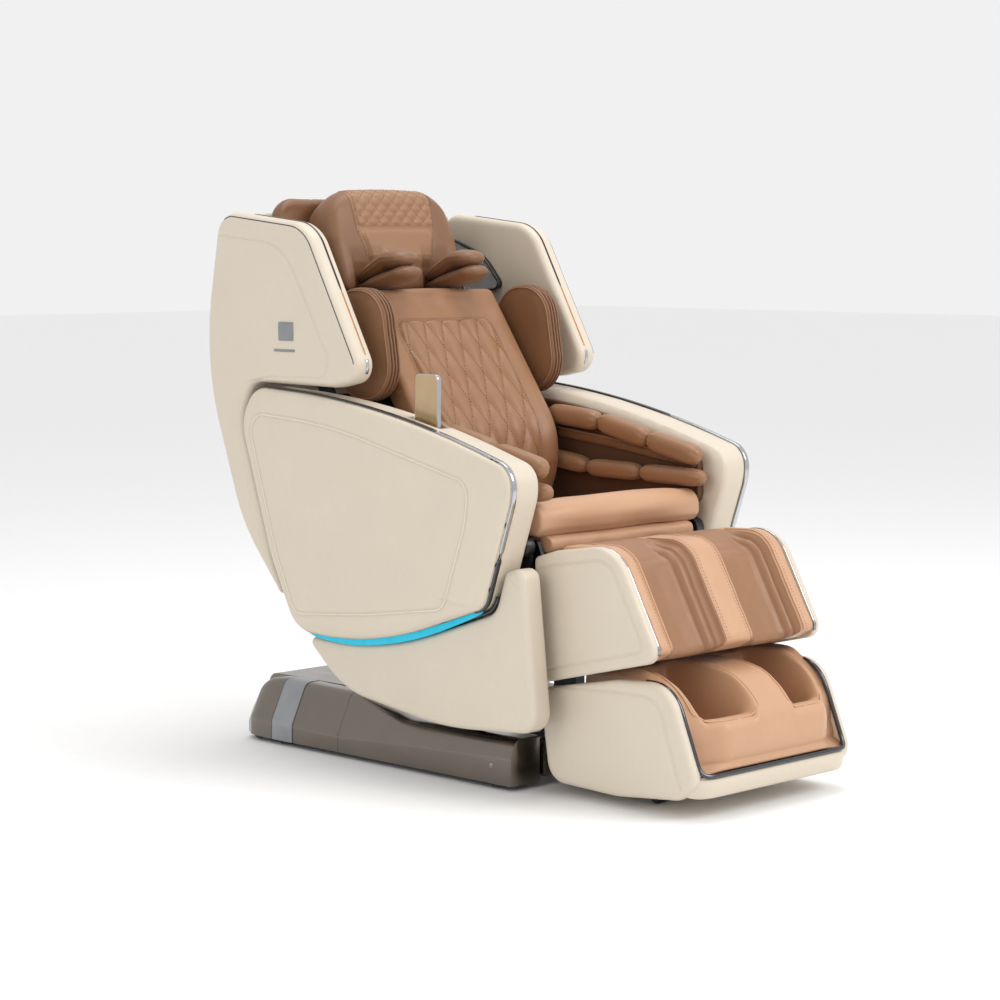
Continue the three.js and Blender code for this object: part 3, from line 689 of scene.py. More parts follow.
def metal(name, colour, rough, brushed=0.0, tone=0.08, way=(1.0, 0.05, 1.0)):
    """Metal with faint streaks or handling marks."""
    material, tree, shader, place = new_material(name, rough, 1)
    streaks = noise(tree, place, 260, 3, stretch=way)
    marks = noise(tree, place, 14, 5)
    tree.links.new(
        blended(tree, spread(tree, marks, 0, 1), shade(colour, 1 - tone), shade(colour, 1 + tone)),
        shader.inputs["Base Color"])
    tree.links.new(spread(tree, marks, max(0.03, rough - 0.04), rough + 0.06),
                   shader.inputs["Roughness"])
    bump(tree, shader, [(streaks, 0.05 + brushed, 0.0002)])
    return material


def plastic(name, colour, rough, tone=0.15, texture=420, coat=0.0):
    """Moulded plastic with a fine spark-eroded surface."""
    material, tree, shader, place = new_material(name, rough, 0)
    marks = noise(tree, place, 30, 4)
    tree.links.new(
        blended(tree, spread(tree, marks, 0, 1), shade(colour, 1 - tone), shade(colour, 1 + tone)),
        shader.inputs["Base Color"])
    tree.links.new(spread(tree, marks, max(0.05, rough - 0.05), rough + 0.06),
                   shader.inputs["Roughness"])
    shader.inputs["Coat Weight"].default_value = coat
    bump(tree, shader, [(noise(tree, place, texture, 2), 0.12, 0.0003)])
    return material


def lamp(name, colour, strength):
    """A lit diffuser, a little brighter along its middle cells."""
    material, tree, shader, place = new_material(name, 0.3, 0)
    glow = spread(tree, noise(tree, place, 40, 2), 0, 1)
    tree.links.new(blended(tree, glow, shade(colour, 0.9), shade(colour, 1.0)),
                   shader.inputs["Emission Color"])
    tree.links.new(blended(tree, glow, shade(colour, 0.15), shade(colour, 0.2)),
                   shader.inputs["Base Color"])
    shader.inputs["Emission Strength"].default_value = strength
    bump(tree, shader, [(noise(tree, place, 200, 2), 0.05, 0.0003)])
    return material


CREAM = leather("cream_leather", srgb(210, 198, 180), rough=0.42, tone=0.035, sheen=0.05,
                creases=0.05)
CREAM_PIPING = leather("cream_piping", srgb(218, 207, 190), rough=0.4, tone=0.03, creases=0.03)
TAN = leather("tan_leather", srgb(196, 152, 118), rough=0.42, tone=0.07)
BROWN = leather("brown_leather", srgb(124, 85, 55), rough=0.44, tone=0.09)
MID = leather("mid_leather", srgb(148, 106, 73), rough=0.44, tone=0.08)
DARK = leather("dark_leather", srgb(92, 60, 38), rough=0.48, tone=0.1)
THREAD = leather("brown_thread", srgb(134, 90, 60), rough=0.6, grain=1500, creases=0)
CREAM_THREAD = leather("cream_thread", srgb(206, 193, 170), rough=0.6, grain=1500, creases=0)
CHROME = metal("chrome", (0.5, 0.51, 0.53), 0.1)
WIRE = metal("speaker_wire", (0.86, 0.87, 0.89), 0.3)
DARK_CHROME = metal("dark_chrome", (0.10, 0.105, 0.115), 0.12)
COPPER = metal("copper", srgb(206, 150, 104), 0.2)
GUNMETAL = metal("gunmetal", srgb(122, 114, 106), 0.2, tone=0.03, way=(1.0, 0.03, 1.0))
BRUSHED = metal("brushed_band", srgb(150, 152, 155), 0.32, brushed=0.12)
CHAMPAGNE = metal("champagne", srgb(196, 170, 134), 0.3, brushed=0.05, way=(1.0, 1.0, 0.04))
STEEL = metal("painted_steel", srgb(74, 77, 82), 0.42, tone=0.12)
BLACK = plastic("black_plastic", (0.012, 0.012, 0.013), 0.38)
GLOSS = plastic("gloss_black", (0.006, 0.006, 0.007), 0.1, coat=0.6)
RUBBER = plastic("rubber", (0.02, 0.02, 0.021), 0.7, texture=160)
IVORY = plastic("roller_plastic", srgb(205, 198, 182), 0.4)
RED = plastic("switch_red", srgb(150, 28, 22), 0.3)
LIGHT = lamp("cyan_light", srgb(0, 184, 214), 0.9)


def place(name, body, built, looks, tints=None, replaced=(), slot=None, fill_=None, sharp=None):
    """Makes a piece, lets it ride on its body and hides the parts that it replaces."""
    points, faces = built
    piece = make(name, points, faces, looks, tints=tints, sharp=sharp)
    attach(piece, body)
    if replaced:
        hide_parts(*replaced)
    return piece


def stitch_piece(name, body, parts, look=THREAD):
    """Rows of stitches joined into one piece of thread."""
    points, faces, _ = merge([(*part, 0) for part in parts if len(part[0])])
    return place(name, body, (points, faces), look)


def route(corners, step=5.0):
    """An open line through [y, z, radius] corners, with its inner corners rounded."""
    flat = np.array([c[:2] for c in corners], float)
    points = [flat[0]]
    for i in range(1, len(flat) - 1):
        here, radius = flat[i], corners[i][2]
        before, after = unit(flat[i - 1] - here), unit(flat[i + 1] - here)
        half = math.acos(np.clip(before @ after, -1, 1)) / 2
        reach = radius / math.tan(half)
        start, end = here + before * reach, here + after * reach
        for t in np.linspace(0, 1, 9):
            points.append((1 - t) ** 2 * start + 2 * t * (1 - t) * here + t * t * end)
    points.append(flat[-1])
    return resample(points, step, closed=False)


def part_of(loop, start, end):
    """The stretch of a closed line from the point nearest `start` on to the one nearest `end`."""
    first, last = nearest(loop, start), nearest(loop, end)
    count = (last - first) % len(loop) + 1
    return loop[[(first + k) % len(loop) for k in range(count)]]


def turned_x(profile, y, z, sides=32):
    """A body of revolution about a line along X: the profile is [x, radius]."""
    angles = circle(sides)
    loops = [np.column_stack([np.full(sides, x), y + r * np.cos(angles), z + r * np.sin(angles)])
             for x, r in profile]
    return rings(loops)


# ---- Arms --------------------------------------------------------------------------------
ARM_IN, ARM_TRIM, ARM_PANEL, ARM_OUT = 290, 370, 383, 404
PANEL_SEAM = [
    [-182, 668, 40], [-172, 580, 200], [-104, 394, 36], [150, 358, 900], [374, 338, 36],
    [440, 480, 500], [538, 786, 42], [250, 768, 1500],
]
PANEL_FALL = 17
CORNER_SEAM = [[-98, 418, 0], [-140, 410, 40], [-200, 404, 0]]
LOWER_IN, LOWER_OUT = 306, 362
LOWER_SEAM = [[-262, 470, 0], [-316, 440, 60], [-322, 168, 0]]
panel_seam = outline(PANEL_SEAM, 5)


def panel_relief(flat, d):
    """The band round the seam curves down to the trim, and the middle is a little full."""
    away = distance(flat, panel_seam)
    within = inside(flat, panel_seam)
    fall = quarter_fall(d / np.maximum(d + away, 1e-6))
    return np.where(within, -1.2 * bell(away, 26), -1.2 - PANEL_FALL * fall)


POCKET = {"x": -330, "y": 14, "z": 762, "wide": 38, "long": 100, "slope": 0.215}
POCKET_GAP = 0.3
POCKET_CUT = (-71, 60)


def in_pocket(points):
    """From the pocket's own frame to the chair's."""
    points = np.asarray(points, float)
    c, s = math.cos(POCKET["slope"]), math.sin(POCKET["slope"])
    y, z = points[:, 1], points[:, 2]
    return np.column_stack([points[:, 0] + POCKET["x"], y * c - z * s + POCKET["y"],
                            y * s + z * c + POCKET["z"]])


def rounded_box(half, radius, z0, z1, rows=4):
    """A plan rectangle with round corners, risen from z0 to z1, as rings."""
    (hx, hy) = half
    loop = outline([[-hx, -hy, radius], [hx, -hy, radius], [hx, hy, radius], [-hx, hy, radius]], 3)
    return [np.column_stack([loop, np.full(len(loop), z)]) for z in np.linspace(z0, z1, rows)]


def cut_away(piece, points, faces):
    """Takes a closed shape out of a piece."""
    cutter = make("cutter", points, faces, CHROME)
    modifier = piece.modifiers.new("cut", "BOOLEAN")
    modifier.operation, modifier.solver, modifier.object = "DIFFERENCE", "EXACT", cutter
    bpy.context.view_layer.update()
    result = bpy.data.meshes.new_from_object(piece.evaluated_get(
        bpy.context.evaluated_depsgraph_get()))
    piece.modifiers.clear()
    piece.data = result
    bpy.data.objects.remove(cutter)


def arm(side, sign):
    """The arm rest, its sewn outer cover with piping, and the shell below it."""
    body = Plate(ARM, ARM_IN, ARM_TRIM - 0.4, sign, edge=3.5, back_edge=24, spacing=16)
    piece = place(f"arm_rest_{side}", "seat", body.build(), CREAM, slot="cream_upholstery",
                  replaced=[f"arm_body_{side}"])
    if sign < 0:
        mouth = (POCKET["wide"] / 2 + POCKET_GAP, POCKET["long"] / 2 + POCKET_GAP)
        rows = rounded_box(mouth, 3, *POCKET_CUT)
        cut_away(piece, *rings([in_pocket(row) for row in rows]))
    cover = Plate(ARM, ARM_PANEL + 0.3, ARM_OUT, sign, edge=7, back_edge=2, relief=panel_relief,
                  seams=[(panel_seam, True), (route(CORNER_SEAM), False)], spacing=13)
    place(f"arm_cover_{side}", "seat", cover.build(), CREAM, slot="cream_upholstery",
          replaced=[f"arm_panel_{side}"])
    piping = bar(cover.on(panel_seam, lift=0.8), 4.2, 4.2, closed=True, sides=8, power=2)
    place(f"arm_piping_{side}", "seat", piping, CREAM_PIPING)
    stitch_piece(f"arm_stitches_{side}", "seat", [
        cover.sewn(panel_seam, True, by=5), cover.sewn(panel_seam, True, by=-5)], CREAM_THREAD)
    lower = Plate(LOWER_PANEL, LOWER_IN, LOWER_OUT, sign, edge=13, back_edge=12, spacing=14,
                  seams=[(route(LOWER_SEAM), False)], seam_depth=1.0)
    place(f"lower_shell_{side}", "seat", lower.build(), CREAM, slot="cream_upholstery",
          replaced=[f"lower_panel_{side}"])


LIGHT_AT, LIGHT_BED_AT, TRIM_AT = 372.4, 340, 376.4
TRIMS = (
    ("rear", (540, 838), (-60, 760), DARK_CHROME),
    ("front", (-58, 761), (-252, 520), CHROME),
    ("end", (-250, 514), (-180, 394), DARK_CHROME),
)


def light(side, sign):
    """The lit strip under the arm, and the bright trim that carries it on round the arm."""
    loop = outline(ARM, 6)
    under = beside(part_of(loop, (-196, 400), (362, 292)), -4.5, False)
    glow = bar(in_side(under, sign * LIGHT_AT), 4.6, 21, sides=20, power=3, taper=0.25)
    place(f"light_tube_{side}", "seat", glow, LIGHT, slot="light_bar",
          replaced=[f"light_strip_{side}"])
    bed = beside(part_of(loop, (-222, 428), (384, 297)), -6.5, False)
    place(f"light_bed_{side}", "seat",
          bar(in_side(bed, sign * LIGHT_BED_AT), 44, 9, sides=16, power=5), GLOSS)
    for name, start, end, look in TRIMS:
        line = beside(part_of(loop, start, end), -1.2, False)
        place(f"arm_trim_{name}_{side}", "seat",
              bar(in_side(line, sign * TRIM_AT), 12.4, 5, sides=12, power=4, taper=0.02), look)


AIRBAGS = {
    "upper": {"line": [[201, 770, 0], [40, 756, 300], [-262, 690, 0]], "splits": [0, .34, .67, 1],
              "tall": 47},
    "lower": {"line": [[250, 672, 0], [60, 648, 300], [-276, 643, 0]], "splits": [0, .33, .64, 1],
              "tall": 41},
}
AIRBAG_DEEP = 45
AIRBAG_AT = 249.0
AIRBAG_SPAN = (226.5, 271.6)


def airbag_row(spec, sign, seed):
    """Three stuffed cells in line, each pinched shut at both ends."""
    line = resample(route(spec["line"]), 3.0, closed=False)
    total = len(line) - 1
    parts = []
    for a, b in zip(spec["splits"], spec["splits"][1:]):
        path = line[round(a * total):round(b * total) + 1]
        path = in_side(resample(path, 3.2, closed=False), sign * AIRBAG_AT)
        t = np.linspace(0, 1, len(path))
        swell = np.maximum(0.05, 1 - np.abs(2 * t - 1) ** 7) ** 0.42
        _, across, up = frames_along(path, False, (1, 0, 0))
        angle = circle(40)
        wide, tall = squared(angle, AIRBAG_DEEP, spec["tall"], 0.8, 0.86)
        loops = []
        for k in range(len(path)):
            end = abs(2 * t[k] - 1)
            gather = 1 - 0.035 * smooth_step((end - 0.55) / 0.4) * (1 + np.cos(angle * 9 + seed))
            seam = 1 - 0.05 * bell(angle - 4.1, 0.09) - 0.05 * bell(angle - 5.35, 0.09)
            r = swell[k] * gather * seam
            loops.append(path[k] + (wide * r)[:, None] * up[k] + (tall * r)[:, None] * across[k])
        parts.append((*rings(loops), 0))
    points, faces, _ = merge(parts)
    points[:, 0] = sign * np.clip(sign * points[:, 0], *AIRBAG_SPAN)
    return points, faces


STRIP_LINE = [[193, 724, 0], [20, 706, 400], [-236, 672, 0]]
STRIP_AT, STRIP_BEAD_AT = 266.5, 264
LINING_FACE = 272


def arm_inside(side, sign):
    """The padded lining inside an arm, its two rows of airbags and the strip between them."""
    lining = Plate(LINING, ARM_IN - 0.4, LINING_FACE, sign, edge=5, back_edge=2, spacing=14,
                   seams=[(outline(shrink(LINING, 16), 5), True)])
    place(f"arm_inner_pad_{side}", "seat", lining.build(), DARK, slot="dark_leather",
          replaced=[f"arm_lining_{side}"], fill_=0.3)
    for k, (row, spec) in enumerate(AIRBAGS.items()):
        place(f"arm_cells_{row}_{side}", "seat", airbag_row(spec, sign, k), MID,
              slot="brown_leather", replaced=[f"arm_airbag_{row}_{side}"], fill_=0.8)
    line = route(STRIP_LINE)
    strip = bar(in_side(line, sign * STRIP_AT), 10, 20, taper=0.02)
    bead = bar(in_side(line + np.array([0, 11.0]), sign * STRIP_BEAD_AT), 5, 5, sides=10, power=2)
    points, faces, tints = merge([(*strip, 0), (*bead, 1)])
    place(f"arm_strip_{side}", "seat", (points, faces), [BROWN, MID], tints=tints)


for side, sign in SIDES:
    arm(side, sign)
    light(side, sign)
    arm_inside(side, sign)


# ---- Remote and its pocket ---------------------------------------------------------------
REMOTE_LOW, REMOTE_HIGH = (Vector(v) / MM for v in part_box("remote"))
remote_corners = [
    [REMOTE_LOW.y, REMOTE_LOW.z, 10], [REMOTE_HIGH.y, REMOTE_LOW.z, 10],
    [REMOTE_HIGH.y, REMOTE_HIGH.z, 12], [REMOTE_LOW.y, REMOTE_HIGH.z, 12],
]
remote_x = abs(REMOTE_LOW.x + REMOTE_HIGH.x) / 2
REMOTE_HALF = 6.3
KEY_ROWS, KEY_PITCH, KEY_FIRST = 3, (17, 15), 62
SCREEN = {"inset": 8, "low": 820, "high": 878}


def remote():
    """The remote: a metal back and rim, and a black face with a screen and nine keys."""
    body = shrink(remote_corners, 1.6)
    back = Plate(body, remote_x, remote_x + REMOTE_HALF, -1, edge=1.4, back_edge=.3, spacing=9)
    face = Plate(body, remote_x, remote_x - REMOTE_HALF, -1, edge=1.2, back_edge=.3, spacing=9)
    rim = bar(in_side(outline(body, 3), -remote_x), 11, 3.2, closed=True, sides=12, power=4)
    keys = []
    x = -remote_x + 6.2
    for row in range(KEY_ROWS):
        for column in (-1, 0, 1):
            y = (REMOTE_LOW.y + REMOTE_HIGH.y) / 2 + column * KEY_PITCH[0]
            z = REMOTE_LOW.z + KEY_FIRST + row * KEY_PITCH[1]
            keys.append((*turned_x([(x, 4.6), (x + 0.5, 4.4), (x + 0.6, 3.2)], y, z, 16), 3))
    near, far = REMOTE_LOW.y + SCREEN["inset"], REMOTE_HIGH.y - SCREEN["inset"]
    low, high = SCREEN["low"], SCREEN["high"]
    screen = Plate([[near, low, 3], [far, low, 3], [far, high, 5], [near, high, 5]],
                   remote_x - 5, remote_x - 6.7, -1, edge=.3, back_edge=.2, spacing=9)
    points, faces, tints = merge([
        (*back.build(), 0), (*rim, 1), (*face.build(), 2), (*screen.build(), 2), *keys])
    place("remote_control", "remote", (points, faces), [CHAMPAGNE, CHROME, GLOSS, BLACK],
          tints=tints, replaced=["remote"], slot="remote_metal")


LINER_HALF = (14.9, 45.9)
LINER_RISE = (-65, 12)


def pocket():
    """A dark liner and a bright frame round the mouth."""
    outer = rounded_box(LINER_HALF, 3, *LINER_RISE, rows=6)
    inner = [np.column_stack([beside(row[:, :2], 1.0), row[:, 2] + 1.0]) for row in outer[::-1]]
    points, faces = rings([in_pocket(row) for row in outer + inner])
    place("pocket_liner", "seat", (points, faces), BLACK, sharp=40)
    mouth = rounded_box((POCKET["wide"] / 2 - 1.5, POCKET["long"] / 2 - 1.5), 4, 14, 14, rows=1)[0]
    path = in_pocket(mouth)
    c, s = math.cos(POCKET["slope"]), math.sin(POCKET["slope"])
    frame_bar = bar(path, 3, 5.5, up=(0, -s, c), closed=True, sides=12, power=3.2)
    place("pocket_frame", "seat", frame_bar, CHROME)
    nodes["remote_pocket"].data.materials.clear()
    nodes["remote_pocket"].data.materials.append(DARK_CHROME)


remote()
pocket()


# ---- Seat --------------------------------------------------------------------------------
seat_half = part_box("seat_cushion")[1].x / MM


def seat_shape(x, s, flat):
    y, z = flat[:, 0], flat[:, 1]
    top = smooth_step((z - 560) / 30)
    crown = 7 * top * np.clip(1 - (np.abs(x) / 215) ** 4, -0.2, 1) * smooth_step((190 - y) / 60)
    soft = np.column_stack([x * 0.3, y, z])
    folds = 1.5 * wave_noise(soft, 46, 3) * smooth_step((-120 - y) / 60)
    groove = 3.2 * bell(y + 168, 4) * smooth_step((z - 590) / 8)
    under = 2.2 * bell(z - 556, 3) * smooth_step((-180 - y) / 10)
    return crown * 0.9 + folds - groove - under


seat = Pad(SEAT_CUSHION, -seat_half, seat_half, edge=11, step=5, across=9, shape=seat_shape)
place("seat_pad", "seat", seat.build(), TAN, slot="tan_leather", replaced=["seat_cushion"],
      fill_=0.6)


ROLL_HALF = 230
SEAM_POINTS = 120


def roll_shape(x, s, flat):
    return wave_noise(np.column_stack([x * 0.4, flat]), 30, 8)


roll = Pad(FRONT_ROLL, -ROLL_HALF, ROLL_HALF, edge=4.5, step=4, across=10, shape=roll_shape, dome=2)
place("seat_front_roll", "seat", roll.build(), TAN, slot="tan_leather", fill_=0.7)
seam_xs = np.linspace(-seat_half + 16, seat_half - 16, SEAM_POINTS)
seat_row = seat.along((-168, 604))
row_points, row_out = seat.on(seam_xs, np.full(SEAM_POINTS, seat_row - 6.5))
stitch_piece("seat_stitches", "seat", [stitches(row_points, row_out)])


# ---- Backrest ----------------------------------------------------------------------------
back_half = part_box("back_cushion")[1].x / MM
DIAMOND = (56.0, 146.0)
QUILT_HALF, QUILT_TOP, QUILT_ROUND = 150.0, 72.0, 34.0
back_top = run_to(outline(BACK_CUSHION, 4), (352, 1060))
BACK_LONG = 470.0


def quilt(x, t, size):
    """Puffed diamonds, 0 along their sewn lines and 1 at their middles."""
    a, b = x / size[0] + t / size[1], x / size[0] - t / size[1]
    return np.sqrt(np.abs(np.sin(math.pi * a) * np.sin(math.pi * b)))


def rounded_area(x, t, half, top, radius):
    """Distance outside the quilted area, negative within it."""
    dx = np.abs(x) - (half - radius)
    dt = (top + radius) - t
    outside = np.hypot(np.maximum(dx, 0), np.maximum(dt, 0))
    return outside + np.minimum(np.maximum(dx, dt), 0) - radius


def back_shape(x, s, flat):
    t = s - back_top
    front = smooth_step((t + 6) / 16) * smooth_step((BACK_LONG - t) / 20)
    away = rounded_area(x, t, QUILT_HALF, QUILT_TOP, QUILT_ROUND)
    within = smooth_step(-away / 7)
    puff = 11.0 * quilt(x, t - QUILT_TOP, DIAMOND) ** 0.8 * within
    seam = 3.5 * bell(away, 2.4)
    bolster = 6 * bell(np.abs(x) - 184, 26) * smooth_step((t - 30) / 60)
    hollow = 5 * (1 - (np.clip(np.abs(x), 0, QUILT_HALF) / QUILT_HALF) ** 2)
    soft = np.column_stack([x, flat * 0.8])
    folds = 1.6 * wave_noise(soft, 70, 5) * smooth_step(away / 14)
    crown = 4 * bell(x, 120) * smooth_step((40 - t) / 30) * smooth_step((t + 40) / 20)
    return front * (puff - seam + bolster - hollow + folds - 3) + crown


backrest = Pad(BACK_CUSHION, 4 - back_half, back_half - 4, edge=14, step=4, across=4,
               shape=back_shape, dome=3)
place("backrest_pad", "back", backrest.build(), MID, slot="brown_leather",
      replaced=["back_cushion"], fill_=0.6)


def diamond_lines():
    """Thread along each sewn line of the quilt, and double rows round it."""
    parts = []
    for way in (1, -1):
        for k in range(-12, 13):
            t = np.arange(QUILT_TOP, BACK_LONG - 24, 4.0)
            x = DIAMOND[0] * (k - way * (t - QUILT_TOP) / DIAMOND[1])
            keep = rounded_area(x, t, QUILT_HALF, QUILT_TOP, QUILT_ROUND) < -2
            if keep.sum() < 6:
                continue
            points, out = backrest.on(x[keep], t[keep] + back_top)
            parts.append(stitches(points, out, radius=0.85, lift=0.7))
    for by in (4.5, -4.5):
        half, top = QUILT_HALF + by, QUILT_TOP - by
        edge = route([[-half, BACK_LONG - 24, 0], [-half, top, QUILT_ROUND + by],
                      [half, top, QUILT_ROUND + by], [half, BACK_LONG - 24, 0]], 4)
        points, out = backrest.on(edge[:, 0], edge[:, 1] + back_top)
        parts.append(stitches(points, out, radius=0.75, lift=0.5))
    return parts


stitch_piece("backrest_stitches", "back", diamond_lines())


# ---- Head cushion and neck pads ----------------------------------------------------------
head_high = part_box("head_cushion")[1] / MM
head_half = head_high.x
HEAD_DIAMOND = (36.0, 32.0)
HEAD_BAND = 96.0
HEAD_CORNER = 92.0
FLAP_HALF, FLAP_SIDE, FLAP_DROP, FLAP_REACH = 56.0, 152.0, 52.0, 34.0
head_outline = outline(HEAD_CUSHION, 4)
head_top = run_to(head_outline, (500, 1291))


def head_centre(t):
    """Half the width of the pale middle, narrower towards the neck."""
    return np.interp(t, [-60, HEAD_BAND, 190], [128, 122, 92])


def head_shape(x, s, flat):
    t = s - head_top
    front = smooth_step((t + 50) / 12) * smooth_step((196 - t) / 14)
    away = np.abs(x) - head_centre(t)
    band = smooth_step((HEAD_BAND - 4 - t) / 4) * smooth_step(-away / 5)
    puff = 4.2 * quilt(x, t, HEAD_DIAMOND) * band * (0.35 + 0.65 * smooth_step((t + 4) / 30))
    pad_away = rounded_area(x, t, head_centre(t) - 4, HEAD_BAND + 2, 22)
    lifted = 5 * smooth_step(-pad_away / 10)
    seam = 2.6 * bell(away, 2.4)
    crown = 5 * bell(x, 130)
    return front * (puff + lifted - seam + crown) - 5


def round_top(grid, half, top, radius):
    """Rounds the two top corners of a pad, seen from the front."""
    x, z = grid[..., 0], grid[..., 2]
    dx = np.maximum(np.abs(x) - (half - radius), 0) / radius
    limit = top - radius * (1 - np.sqrt(np.maximum(0, 1 - dx ** 2)))
    low = top - radius - 18
    grid[..., 2] = np.where(z > low, low + (z - low) * (limit - low) / (top - low), z)
    return grid


def head_warp(grid):
    """Rounds the top, and lets the sides and the middle down to the backrest."""
    grid = round_top(grid, head_half, head_high.z, HEAD_CORNER)
    x, y, z = grid[..., 0], grid[..., 1], grid[..., 2]
    reach = smooth_step((FLAP_HALF + 8 - np.abs(x)) / 12) + smooth_step(
        (np.abs(x) - FLAP_SIDE) / 12)
    share = smooth_step((1165 - z) / 62) * smooth_step((500 - y) / 44)
    grid[..., 2] -= FLAP_DROP * share
    grid[..., 1] -= FLAP_REACH * share * (reach - 0.2)
    return grid


head = Pad(HEAD_CUSHION, -head_half, head_half, edge=28, step=3.5, across=3.5, shape=head_shape,
           dome=6)
head.grid = head_warp(head.grid)
head_points, head_faces = head.build()
head_middle = np.array([np.mean(head_points[f], axis=0) for f in head_faces])
near = np.linalg.norm(head_outline[None] - head_middle[:, None, 1:], axis=2).argmin(1)
head_t = run_lengths(head_outline)[near] - head_top
pale = (np.abs(head_middle[:, 0]) < head_centre(head_t)) & (head_t > -60) & (head_t < 205)
place("head_pad", "back", (head_points, head_faces), [BROWN, MID], tints=pale.astype(int),
      slot="brown_leather", replaced=["head_cushion"], fill_=0.7)


def head_lines():
    parts = []
    for way in (1, -1):
        for k in range(-8, 9):
            t = np.arange(-44, HEAD_BAND - 4, 3.0)
            x = HEAD_DIAMOND[0] * (k - way * t / HEAD_DIAMOND[1])
            keep = np.abs(x) < head_centre(t) - 2
            spans = np.split(np.arange(len(t)), np.where(np.diff(keep.astype(int)))[0] + 1)
            for part in spans:
                if len(part) > 5 and keep[part].all():
                    points, out = head.on(x[part], t[part] + head_top)
                    parts.append(stitches(points, out, radius=0.5, lift=0.3))
    for sign in (-1, 1):
        for by in (-4, 4):
            t = np.arange(-44, 196, 4.0)
            points, out = head.on(sign * (head_centre(t) + by), t + head_top)
            parts.append(stitches(points, out, radius=0.55, lift=0.3))
    return parts


stitch_piece("head_stitches", "back", head_lines())

LEAVES = [
    {"line": [[512, 1064, 0], [440, 1092, 60], [366, 1130, 50], [300, 1134, 0]], "tall": 40},
    {"line": [[508, 1060, 0], [430, 1070, 60], [350, 1088, 60], [288, 1106, 0]], "tall": 38},
]
LEAF_WIDE = 80.0


def leaf(spec, middle, seed):
    """A stuffed leaf: narrow at its root, full near its round tip, wrinkled lengthwise."""
    path = in_side(route(spec["line"], 3.5), middle)
    t = np.linspace(0, 1, len(path))
    tip = np.sqrt(np.maximum(0.0, 1 - np.clip((t - 0.84) / 0.16, 0, 1) ** 2))
    swell = (0.16 + 0.84 * smooth_step(t / 0.62)) * np.maximum(tip, 0.04)
    wide_swell = (0.3 + 0.7 * smooth_step(t / 0.5)) * np.maximum(tip, 0.05) ** 0.8
    _, across, up = frames_along(path, False, (1, 0, 0))
    angle = circle(56)
    wide, tall = squared(angle, LEAF_WIDE, spec["tall"], 0.9, 1.05)
    loops = []
    for k in range(len(path)):
        crease = 1 + 0.018 * np.sin(angle * 11 + seed + 2.2 * t[k]) * math.sin(math.pi * t[k])
        seam = 1 - 0.03 * (bell(angle - 0.0, .08) + bell(angle - math.pi, .08))
        loops.append(path[k] + (wide * wide_swell[k] * crease * seam)[:, None] * up[k]
                     + (tall * swell[k] * crease)[:, None] * across[k])
    return rings(loops)


for side, sign in SIDES:
    points, faces, _ = merge([(*leaf(spec, sign * 108, 3 * k), 0) for k, spec in enumerate(LEAVES)])
    place(f"neck_leaves_{side}", f"neck_pad_{side}", (points, faces), BROWN,
          slot="brown_leather", replaced=[f"neck_pad_{side}"], fill_=0.8)


def rear_pad_shape(x, s, flat):
    return 1.4 * wave_noise(np.column_stack([x * 0.5, flat]), 60, 12) - 2 - 2.5 * bell(
        np.abs(x) - 150, 3)


rest_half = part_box("head_rest_pad")[1].x / MM
rear_pad = Pad(HEAD_REST, -rest_half, rest_half, edge=22, step=5, across=6, shape=rear_pad_shape)
rear_pad.grid = round_top(rear_pad.grid, rest_half, 1272, 60)
place("rear_head_pad", "back", rear_pad.build(), BROWN, slot="dark_leather",
      replaced=["head_rest_pad"], fill_=0.6)


# ---- Shoulder airbags --------------------------------------------------------------------
BELLOWS = (18.0, 27.0, 36.0)


def shoulder(side, sign):
    low, high = (v.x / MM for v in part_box(f"shoulder_airbag_{side}"))
    inner = min(abs(low), abs(high))
    grooves = [sign * (inner + g) for g in BELLOWS]

    def shape(x, s, flat):
        push = -1.0 + np.zeros(len(flat))
        for g in grooves:
            push -= 8.0 * bell(x - g, 1.6)
        soft = np.column_stack([x * 2, flat])
        return push + 0.8 * wave_noise(soft, 40, 21)

    fine = np.concatenate([g + np.linspace(-4, 4, 9) for g in grooves])
    bag = Pad(SHOULDER, low + 9, high - 9, edge=9, step=5, across=3, shape=shape, dome=9,
              stations=fine)
    place(f"shoulder_bellows_{side}", f"shoulder_airbag_{side}", bag.build(), BROWN,
          slot="brown_leather", replaced=[f"shoulder_airbag_{side}"], fill_=0.8)
    ring = beside(outline(SHOULDER, 5), 7.5)
    beads = [bar(in_side(ring, x), 3.2, 3.2, closed=True, sides=8, power=2)
             for x in (low + 8.6, high - 8.6)]
    points, faces, _ = merge([(*b, 0) for b in beads])
    place(f"shoulder_piping_{side}", f"shoulder_airbag_{side}", (points, faces), MID)


for side, sign in SIDES:
    shoulder(side, sign)


# ---- Back shell --------------------------------------------------------------------------
SHELL_IN, SHELL_OUT = 330, 390
WING_SEAM = [
    [672, 1190, 0], [420, 1168, 150], [262, 905, 52], [290, 868, 36], [470, 866, 30],
    [560, 850, 0],
]


LOW_SEAM = [[560, 850, 0], [592, 760, 100], [500, 470, 300], [458, 396, 0]]
WING_TRIM_AT = 352
DARK_SHARE, WARM_SHARE, CLIP_SHARE = 0.66, 0.93, 0.94
BADGES = (
    ("plate", [[386, 950, 3], [436, 950, 3], [436, 992, 3], [386, 992, 3]], 2.2),
    ("bar", [[381, 925, 2.4], [453, 925, 2.4], [453, 931, 2.4], [381, 931, 2.4]], 1.6),
)


